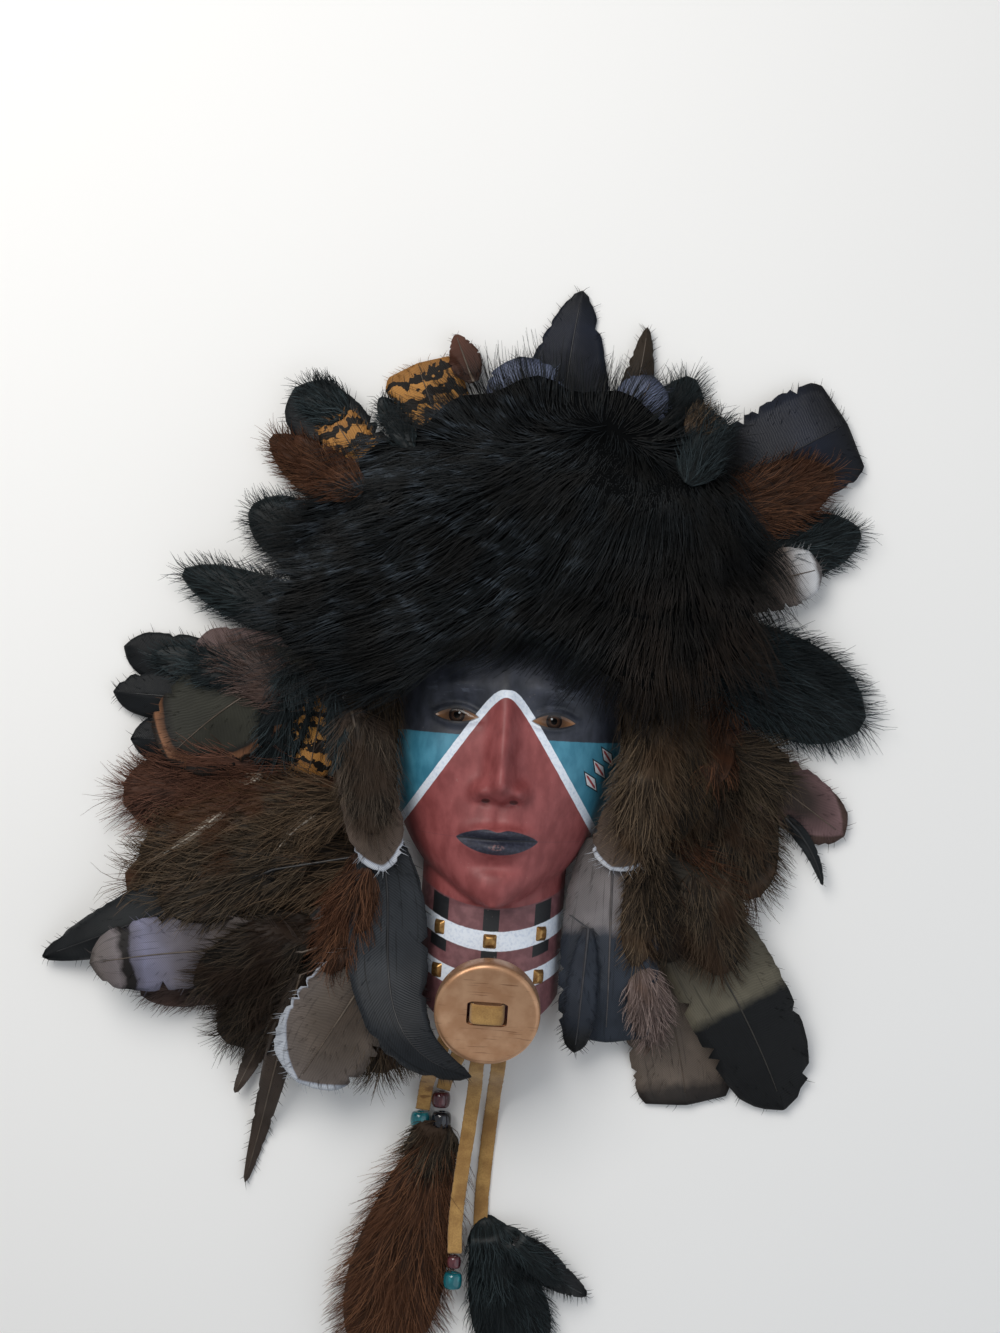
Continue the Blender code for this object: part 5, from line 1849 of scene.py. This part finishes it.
@dataclass(frozen=True)
class Vane:
    """A flat feather: a thin cambered vane with split edges, a shaft, and barbs that stand off its rim."""

    lie: Lie
    plumage: Plumage
    coat: Coat = Coat(190, 4.6, 0.34, 0.5, 0.10, 0.14, 0.35, 6.0, 2)
    fluff: float = 1.6
    stations: int = 46
    columns: int = 10
    thickness: float = 0.0005
    barb_slant: float = 0.95
    frayed: float = 0.012
    splits: int = 3
    split_from: float = 0.45
    split_depth: tuple = (0.06, 0.20)
    camber: float = 0.00025
    uneven: float = 0.00006
    shaft_radius: float = 0.00075
    shaft_taper: float = 0.75

    def build(self, seed: int) -> None:
        """Build the feather.

        Args:
            seed: The seed of its splits and barbs.
        """
        random = np.random.default_rng(seed)
        work = bmesh.new()
        layers = marked(work)
        t = np.linspace(0, 1, self.stations)
        middle, ahead, half = self.lie.rows(t)
        start = 0.93 if self.lie.shape == "round" else 0.97
        half = half * np.sqrt(1 - np.clip((t - start) / (1.0005 - start), 0, 1) ** 2)
        side = np.stack((-ahead[:, 1], ahead[:, 0]), axis=1)
        v = np.linspace(-1, 1, self.columns + 1)
        edges = 1 + random.normal(0, self.frayed, (2, self.stations))
        for row in edges:
            first, last = int(self.stations * self.split_from), self.stations - 2
            for split in random.integers(first, last, self.splits):
                row[split] -= random.uniform(*self.split_depth)
        cut = np.where(v[None, :] < 0, edges[0][:, None], edges[1][:, None])
        across = v[None, :] * half[:, None] * (1 + (cut - 1) * np.abs(v[None, :]) ** 6)
        plan = middle[:, None, :] + side[:, None, :] * across[:, :, None]
        tops = np.array([[SOLIDS.span(self.lie.name, *spot)[1] for spot in row] for row in plan])
        tops = smoothed(tops, 3) + (self.camber * np.cos(v * math.pi / 2)[None, :]
                                    + random.normal(0, self.uneven, tops.shape))
        length = float(np.linalg.norm(np.diff(middle, axis=0), axis=1).sum())
        sheets = []
        for drop in (0.0, self.thickness):
            sheet = []
            for i in range(self.stations):
                row = []
                for j, share in enumerate(v):
                    point = work.verts.new((*plan[i, j], tops[i, j] - drop))
                    barb = ahead[i] * 0.75 + side[i] * share * self.barb_slant
                    rim = max(abs(share) ** 4, float(np.clip((t[i] - 0.9) / 0.1, 0, 1)))
                    fluff = float(np.clip(1 - t[i] / 0.30, 0, 1))
                    phase = (t[i] * length - abs(across[i, j]) * 0.9) / MM
                    cover = 0.0 if drop else 0.12 + rim + fluff * self.fluff
                    mark(point, layers, flow=(*barb, 0.0), cover=cover, place=(t[i], share, phase),
                         reach=1.0 + fluff * self.fluff * 1.6, tone=0.35, along=0.5)
                    row.append(point)
                sheet.append(row)
            sheets.append(sheet)
        top, bottom = sheets
        for upper, lower in zip(cells(top), cells(bottom)):
            work.faces.new(upper)
            work.faces.new(lower[::-1])
        border = CeramicFace.border(self.stations, self.columns + 1)
        for (r, c), (s, d) in zip(border, border[1:] + border[:1]):
            work.faces.new((top[r][c], bottom[r][c], bottom[s][d], top[s][d]))
        self.add_shaft(work, layers, middle, ahead, side, tops[:, self.columns // 2])
        mesh = close_mesh(self.lie.name, work, 1e-8)
        finish = self.plumage.material()
        obj = add_piece(f"{self.lie.name}_vane", mesh, finish, self.plumage.shaft_material())
        grow(obj, self.coat, finish, seed)
        declare(obj, self.plumage.slot, *([self.lie.name] if self.lie.packed else []))

    def add_shaft(self, work: BMesh, layers: dict, middle: np.ndarray, ahead: np.ndarray,
                  side: np.ndarray, tops: Field) -> None:
        """Lay the tapered shaft along the vane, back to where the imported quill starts.

        Args:
            work: The mesh at work.
            layers: The attributes' layers.
            middle: The middle line's places.
            ahead: The way ahead at each.
            side: The way across at each.
            tops: The vane's height along its middle.
        """
        first = np.array([middle[0][0] - MIDDLE.x, middle[0][1] - MIDDLE.y])
        aim = np.array([0.0, float(np.clip(first[1] * 0.7, -0.1, 0.05))])
        back = (aim - first) / np.linalg.norm(aim - first)
        quill = [middle[0]]
        for _ in range(60):
            ahead_spot = quill[-1] + back * 0.0015
            if not SOLIDS.hits(self.lie.name, *ahead_spot):
                break
            quill.append(ahead_spot)
        quill = quill[:0:-1][::4]
        line = [*quill, *middle[:-2:2]]
        heights = [SOLIDS.span(self.lie.name, *spot)[1] for spot in quill] + list(tops[:-2:2])
        rings = []
        for i, (spot, high) in enumerate(zip(line, heights)):
            share = i / (len(line) - 1)
            way = side[min(max(i - len(quill), 0) * 2, len(side) - 1)]
            radius = self.shaft_radius * (1 - self.shaft_taper * share)
            ring = []
            for turn in np.linspace(0, 2 * math.pi, 6, endpoint=False):
                place = spot + way * math.cos(turn) * radius
                point = work.verts.new((*place, high + 0.0001 + math.sin(turn) * radius * 0.8))
                mark(point, layers, flow=(*ahead[0], 0.0), cover=0.0, reach=0.0, tone=0.5, along=0.5)
                ring.append(point)
            rings.append(ring)
        skin(work, rings, 1)


@dataclass(frozen=True)
class Fluff:
    """A downy feather or a tuft of fur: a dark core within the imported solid, and long strands over it."""

    lie: Lie
    finish: FurFinish
    coat: Coat
    core_end: float = 0.88
    core_width: float = 0.80
    splay: float = 0.60
    core_height: float = 0.80
    sunk: float = 0.0015
    sunk_share: float = 0.25
    root_width: float = 0.40
    root_share: float = 0.22
    stations: int = 16
    sides: int = 12

    def build(self, seed: int) -> None:
        """Build the tuft.

        Args:
            seed: The seed of its strands.
        """
        work = bmesh.new()
        layers = marked(work)
        t = np.linspace(0.0, self.core_end, self.stations)
        middle, ahead, half = self.lie.rows(t)
        side = np.stack((-ahead[:, 1], ahead[:, 0]), axis=1)
        spans = np.array([SOLIDS.span(self.lie.name, *spot) for spot in middle])
        spans = smoothed(spans, 2)
        rings = []
        for i, share in enumerate(t):
            low, high = spans[i]
            level, rise = (low + high) / 2, (high - low) / 2 * self.core_height
            ends = math.sqrt(max(1 - (share / self.core_end) ** 6, 0.05))
            if not self.lie.packed:
                ends *= min(1.0, self.root_width + share / self.root_share)
            ring = []
            for turn in np.linspace(0, 2 * math.pi, self.sides, endpoint=False):
                across, up = math.cos(turn), math.sin(turn)
                spot = middle[i] + side[i] * across * half[i] * self.core_width * ends
                base = level
                if not self.lie.packed:
                    base = float(np.clip(SOLIDS.top(*spot, level) + 0.001, level - 0.003, level + 0.005))
                    base -= self.sunk * max(0.0, 1 - share / self.sunk_share)
                point = work.verts.new((*spot, base + up * rise * ends))
                flow = ahead[i] + side[i] * across * self.splay
                reach = (1 - 0.50 * abs(across)) * (1 - 0.45 * max(share - 0.35, 0.0))
                mark(point, layers, flow=(*flow, 0.22 * up), cover=1.0 + abs(across) if up > -0.3 else 0.35,
                     reach=reach, tone=0.0, along=0.0, place=(share, across, 0.0))
                ring.append(point)
            rings.append(ring)
        skin(work, rings)
        finish = self.finish.material()
        obj = add_piece(f"{self.lie.name}_fluff", close_mesh(self.lie.name, work, 1e-8), finish)
        grow(obj, self.coat, finish, seed)
        declare(obj, self.finish.slot, *([self.lie.name] if self.lie.packed else []))


@dataclass(frozen=True)
class FurCap:
    """The fur cap: a domed hide with long glossy hair, combed down over the brow and out to the sides."""

    middle: tuple = (4.0, 72.0)
    crown: tuple = (14.0, 84.0)
    sectors: int = 72
    rings: int = 16
    edge: float = 0.90
    locks: int = 13
    lock_depth: float = 0.035
    below_top: float = 0.0010
    arch: float = 0.0022
    hide: float = 0.006
    step: float = 0.006
    coat: Coat = Coat(9440, 36.0, 0.44, 0.55, 0.24, 0.16, 1.25, 15.0, 3)
    reaches: tuple = (
        (0, 120), (20, 115), (40, 107), (60, 97), (80, 92), (100, 91), (120, 87), (140, 88),
        (160, 101), (180, 117), (200, 123), (215, 118), (228, 95), (238, 56), (256, 38),
        (275, 38), (294, 44), (305, 62), (315, 85), (328, 103), (345, 118), (360, 120),
    )

    def reach(self, degrees: float) -> float:
        """Give how far the hide reaches in one direction, with its locks."""
        angles, reaches = zip(*self.reaches)
        plain = float(np.interp(degrees % 360, angles, reaches)) * MM
        return plain * (1 + self.lock_depth * math.sin(math.radians(degrees * self.locks)))

    def comb(self, x: float, y: float) -> np.ndarray:
        """Give the way the hair lies at one place, in plan.

        Args:
            x: Place across, in metres from the face's middle.
            y: Place along, in metres from the face's middle.

        Returns:
            A unit way.
        """
        out = np.array([x - self.crown[0] * MM, y - self.crown[1] * MM])
        out /= np.linalg.norm(out) + 1e-6
        upper = 1 / (1 + math.exp(-(y - 0.128 - 0.008 * math.sin(x * 60)) / 0.008))
        turn = float(np.interp(x, (-0.09, -0.02, 0.03, 0.06, 0.09, 0.12), (196, 214, 236, 262, 292, 320)))
        fall = np.array([math.cos(math.radians(turn)), math.sin(math.radians(turn))])
        way = out * upper + fall * (1 - upper)
        return way / (np.linalg.norm(way) + 1e-6)

    def cover(self, x: float, y: float, share: float) -> float:
        """Give how thickly the hair grows at one place: more over the brow and where it parts at the right.

        Args:
            x: Place across, in metres from the face's middle.
            y: Place along, in metres from the face's middle.
            share: How far out on the hide it is, up to one.

        Returns:
            The cover, one being plain.
        """
        low = y < self.middle[1] * MM and share > 0.6
        brow = math.exp(-(((x - 0.005) / 0.055) ** 2)) if low else 0.0
        parted = math.exp(-((x - 0.062) / 0.034) ** 2 - ((y - 0.106) / 0.018) ** 2)
        return 1.0 + 1.2 * brow + 1.6 * parted

    def build(self) -> None:
        """Build the hide and its hair."""
        work = bmesh.new()
        layers = marked(work)
        hub = at(*self.middle)
        sheets = []
        for drop in (0.0, 1.0):
            sheet = []
            for ring in range(self.rings + 1):
                share = (ring / self.rings) ** 0.85 * self.edge
                row = []
                for sector in range(self.sectors):
                    degrees = 360 * sector / self.sectors
                    away = self.reach(degrees) * max(share, 0.01)
                    turn = math.radians(degrees)
                    x, y = hub.x + away * math.cos(turn), hub.y + away * math.sin(turn)
                    low, high = SOLIDS.span("fur_cap", x, y)
                    upper, lower = high - self.below_top - self.arch * (1 - share**4), high - self.hide
                    point = work.verts.new((x, y, max(low + 0.0004, lower) if drop else upper))
                    way = self.comb(x - MIDDLE.x, y - MIDDLE.y)
                    fore = SOLIDS.span("fur_cap", x + way[0] * self.step, y + way[1] * self.step)[1]
                    slope = float(np.clip((fore - high) / self.step, -1.2, 0.8))
                    cover = 0.0 if drop else self.cover(x - MIDDLE.x, y - MIDDLE.y, share)
                    reach = 1.0 - 0.28 * float(np.clip((y - MIDDLE.y - 0.118) / 0.03, 0, 1))
                    mark(point, layers, flow=(*way, slope), cover=cover, reach=reach, tone=0.0, along=0.0)
                    row.append(point)
                sheet.append(row)
            sheets.append(sheet)
        rim = [sheet[-1] for sheet in sheets]
        for sheet in (*sheets, rim):
            hub_ring = [] if sheet is rim else [sheet[0]]
            for corners in (*hub_ring, *cells(sheet, around=True)):
                work.faces.new(corners)
        obj = add_piece("fur_cap_hair", close_mesh("fur_cap_hair", work, 1e-8), FUR_HIDE.material())
        grow(obj, self.coat, BLACK_FUR.material(), 11)
        declare(obj, BLACK_FUR.slot, "fur_cap")


def tuft(name: str, root: tuple, tip: tuple, width: float, finish: FurFinish, count: int, length: float,
         shape: str = "down", bow: float = 0.0, thickness: float = 0.46, clump: float = 1.2,
         splay: float = 0.60) -> Fluff:
    """Describe a downy feather or a tuft.

    Args:
        name: Its name.
        root: Its root's place.
        tip: Its tip's place.
        width: Its width in millimetres.
        finish: Its hair.
        count: How many strands it has.
        length: Their length in millimetres.
        shape: Its outline.
        bow: How far its middle line bows to the left.
        thickness: The strands' thickness in millimetres.
        clump: How much they gather in locks.
        splay: How far they turn out to the sides.

    Returns:
        The piece, ready to build.
    """
    coat = Coat(count, length, thickness, 0.5, 0.25, 0.36, clump, 10.0, 3 if length > 22 else 2)
    return Fluff(Lie(name, root, tip, width, shape, bow), finish, coat, splay=splay)


FLUFFS = (
    tuft("down_maroon_left", (-66, -36), (-188, -48), 60, MAROON_DOWN, 1150, 34, bow=4),
    tuft("down_brown_left", (-52, -66), (-184, -90), 56, BROWN_DOWN, 1150, 34),
    tuft("down_dark_low", (-62, -104), (-128, -164), 52, DARK_DOWN, 900, 26),
    tuft("down_brown_low", (-46, -118), (-47, -172), 42, DARK_BROWN, 1000, 26),
    tuft("down_brown_right", (66, -10), (126, -62), 62, BROWN_DOWN, 950, 26),
    tuft("down_dark_right", (76, -52), (116, -104), 46, RUST_DOWN, 750, 22),
    tuft("down_black_right", (76, 36), (176, 2), 60, BLACK_DOWN, 1500, 28, bow=4),
    tuft("down_black_upper_left", (-72, 64), (-131, 91), 40, BLACK_DOWN, 600, 20),
    tuft("plume_black_left", (-62, 28), (-165, 60), 32, BLACK_DOWN, 1000, 22),
    tuft("down_black_curl_right", (96, 76), (166, 99), 38, BLACK_DOWN, 700, 20),
    tuft("tuft_dark_top", (54, 100), (78, 171), 38, BLACK_DOWN, 600, 22, "wisp"),
    tuft("down_rust_left", (-62, 85), (-124, 126), 30, RUST_DOWN, 600, 20, "wisp"),
    tuft("down_rust_right", (80, 98), (150, 128), 40, RUST_DOWN, 700, 22, "wisp", -4),
    tuft("feather_rust_mid_left", (-60, -66), (-62, -128), 34, RUST_DOWN, 650, 18, "round"),
    tuft("fur_left", (-60, 26), (-64, -64), 32, BROWN_FUR, 950, 26, "down", 2, 0.36, 0.6, 0.3),
    tuft("fur_right", (62, 24), (82, -60), 46, BROWN_FUR, 1200, 26, "down", 2, 0.36, 0.6, 0.4),
    tuft("plume_brown", (-17, -196), (-40, -319), 58, PLUME_BROWN, 1500, 34, "plume", -3, 0.4, 1.3, 0.9),
    tuft("plume_dark", (8, -237), (33, -306), 47, BLACK_DOWN, 700, 22, "plume", thickness=0.4, clump=1.0),
    tuft("over_mauve_left", (-90, 0), (-140, 25), 30, MAUVE_FLUFF, 420, 20),
    tuft("over_black_left", (-94, 17), (-107, -38), 28, BLACK_DOWN, 480, 20),
    tuft("over_maroon_left", (-104, -33), (-182, -47), 41, MAROON_DOWN, 560, 28),
    tuft("over_brown_big", (-65, -41), (-175, -79), 47, BROWN_DOWN, 900, 32),
    tuft("over_light_left", (-79, -33), (-109, -77), 25, LIGHT_FLUFF, 380, 20),
    tuft("over_rust_left", (-57, -70), (-74, -126), 27, RUST_DOWN, 480, 22),
    tuft("over_spike_root", (-84, -66), (-160, -98), 46, DARK_BROWN, 800, 28),
    tuft("over_band_grey", (-81, -99), (-138, -136), 36, DARK_DOWN, 560, 24),
    tuft("over_cheek_left", (-62, 0), (-54, -62), 30, CHEEK_FLUFF, 700, 24, "down", 0, 0.36, 0.6, 0.3),
    tuft("over_black_ear", (-76, 6), (-70, -32), 15, BLACK_DOWN, 240, 16),
    tuft("over_band_mauve", (-104, -130), (-166, -139), 22, MAUVE_FLUFF, 360, 18),
    tuft("over_low_left", (-96, -116), (-120, -160), 24, DARK_DOWN, 400, 20),
    tuft("over_light_right", (67, 4), (62, -65), 33, LIGHT_FLUFF, 620, 26),
    tuft("over_rust_right", (102, 20), (92, -30), 25, RUST_DOWN, 320, 22),
    tuft("over_dark_right", (97, -3), (122, -85), 50, DARK_BROWN, 900, 30),
    tuft("over_dark_far", (97, -8), (137, -24), 36, DARK_BROWN, 480, 24),
    tuft("over_grey_right", (70, -50), (66, -116), 24, LIGHT_FLUFF, 420, 18),
    tuft("over_twirl_dark", (66, -56), (86, -112), 30, DARK_DOWN, 520, 20),
    tuft("over_brown_low_right", (93, -60), (108, -116), 36, DARK_BROWN, 600, 24),
    tuft("over_pink_low", (70, -108), (80, -150), 24, PALE_FLUFF, 340, 18),
    tuft("over_tan_top", (74, 134), (87, 150), 16, LIGHT_FLUFF, 160, 12),
    tuft("over_rust_top", (-70, 96), (-119, 122), 26, RUST_DOWN, 420, 18),
    tuft("over_black_top", (-82, 132), (-106, 146), 24, BLACK_DOWN, 420, 16),
    tuft("over_dark_square", (74, 110), (92, 149), 24, BLACK_DOWN, 380, 16),
    tuft("over_black_mid_top", (-50, 118), (-70, 146), 15, BLACK_DOWN, 260, 14),
    tuft("over_black_lobe", (-112, 10), (-172, 18), 22, BLACK_DOWN, 380, 16),
    tuft("over_plume_root", (-15, -188), (-27, -216), 30, DARK_BROWN, 300, 18),
    tuft("over_plume_dark", (7, -231), (18, -267), 27, BLACK_DOWN, 360, 20),
    tuft("over_plume_spike", (14, -234), (48, -261), 16, BLACK_DOWN, 160, 14),
)
FEW_BARBS = Coat(60, 3.0, 0.28, 0.5, 0.10, 0.14, 0.35, 6.0, 2)
VANES = (
    Vane(Lie("feather_crest_black", (17, 108), (22, 199), 39, "point", 2), NAVY_VANE),
    Vane(Lie("feather_crest_small", (37, 108), (53, 184), 18, "point", -3), BROWN_VANE),
    Vane(Lie("feather_square_right", (70, 98), (148, 146), 52, "square"), NAVY_VANE),
    Vane(Lie("feather_black_round", (-52, 92), (-107, 144), 34, "round"), BLACK_VANE),
    Vane(Lie("feather_gold_low", (-50, 80), (-88, 131), 22, "square"), GOLD_VANE),
    Vane(Lie("feather_gold_high", (-26, 100), (-52, 160), 36, "square"), GOLD_VANE),
    Vane(Lie("feather_blue_left", (8, 104), (-5, 166), 38, "round"), BLUE_SHEEN_VANE),
    Vane(Lie("feather_blue_right", (35, 104), (57, 161), 28, "round"), BLUE_SHEEN_VANE),
    Vane(Lie("feather_black_lobe_high", (-76, 8), (-178, 20), 27, "round", 3), BLACK_VANE),
    Vane(Lie("feather_black_lobe_low", (-76, -2), (-181, -1), 25, "round"), BLACK_VANE),
    Vane(Lie("feather_black_below", (-76, -15), (-171, -22), 27, "round"), BLACK_VANE),
    Vane(Lie("feather_grey_mauve", (-66, 12), (-144, 24), 24, "round"), MAUVE_VANE, fluff=3.0),
    Vane(Lie("feather_copper_rim", (-92, 18), (-153, -30), 48, "round", -4), COPPER_VANE, fluff=0.6),
    Vane(Lie("feather_gold_ear", (-80, 22), (-88, -33), 19, "square"), GOLD_VANE),
    Vane(Lie("feather_black_spike_left", (-100, -76), (-205, -125), 30, "point"), BLACK_VANE),
    Vane(Lie("feather_banded", (-84, -112), (-180, -124), 34, "round", -3), BANDED_VANE),
    Vane(Lie("feather_spike_long", (-84, -122), (-105, -223), 13, "spike"), SPIKE_VANE),
    Vane(Lie("feather_fringe_low", (-46, -106), (-82, -170), 46, "round"), FRINGED_VANE, fluff=1.0),
    Vane(Lie("feather_mauve_round", (95, -2), (160, -44), 29, "round"), PINK_VANE, fluff=2.4),
    Vane(Lie("feather_white_tip_right", (90, 62), (140, 78), 28, "round"), CREAM_VANE, fluff=3.0),
    Vane(Lie("feather_taupe_square", (66, -86), (96, -173), 46, "square", 4), TAUPE_VANE, fluff=2.0),
    Vane(Lie("feather_large_blacktip", (62, -54), (141, -172), 48, "round", 6), BLACK_TIP_VANE, fluff=2.0),
    Vane(Lie("feather_taupe_navy", (52, -36), (56, -145), 45, "square"), NAVY_TIP_VANE, fluff=1.4),
    Vane(Lie("feather_black_narrow", (44, -92), (42, -150), 15, "round"), NARROW_VANE, fluff=0.0),
    Vane(Lie("feather_slate", (-58, -50), (-4, -158), 36, "point", -15.3, 1.46), SLATE_VANE, fluff=0.6),
    Vane(Lie("feather_fringe_cheek_left", (-68, 0), (-49, -71), 26, "round"), FRINGED_TIP_VANE, fluff=2.4),
    Vane(Lie("feather_fringe_cheek_right", (66, -20), (52, -65), 27, "round"), FRINGED_TIP_VANE, fluff=2.4),
    Vane(Lie("plume_spike", (20, -240), (56, -264), 17, "spike"), BLACK_VANE, fluff=0.8),
    Vane(Lie("quill_long", (-110, -34), (-159, -78), 5, "spike", 3), QUILL_VANE, FEW_BARBS),
    Vane(Lie("quill_short", (-82, -50), (-102, -72), 5, "spike", -2), QUILL_VANE, FEW_BARBS),
    Vane(Lie("spike_small", (-96, -143), (-112, -181), 11, "spike"), SPIKE_VANE, FEW_BARBS),
    Vane(Lie("curl_right", (131, -37), (151, -67), 7, "spike", 3), BLACK_VANE, FEW_BARBS),
    Vane(Lie("rust_tip_top", (-25, 152), (-35, 174), 15, "point"), RUSTY_VANE, FEW_BARBS),
)


def declare_cords(laces: dict) -> None:
    """Hang each lace from the root and hide its imported solid; its length is worked out but not used.

    Args:
        laces: Each lace's piece and points, by name.
    """
    for name, (lace, points) in laces.items():
        declare(lace, "suede_lace", name)
        length = sum((b - a).length for a, b in zip(points, points[1:]))


def main() -> None:
    """Build the mask from its camera and cords to its fur."""
    logging.basicConfig(level=logging.INFO, format="%(message)s")
    StudioSet().build()
    strings = Laces()
    laces = strings.build()
    Beads().build()
    face = CeramicFace()
    face.build()
    CollarStuds().build(face)
    ThroatDisc().build()
    for number, vane in enumerate(VANES):
        vane.build(100 + number)
    for number, fluff in enumerate(FLUFFS):
        fluff.build(200 + number)
    FurCap().build()
    declare_cords(laces)


if __name__ == "__main__":
    main()
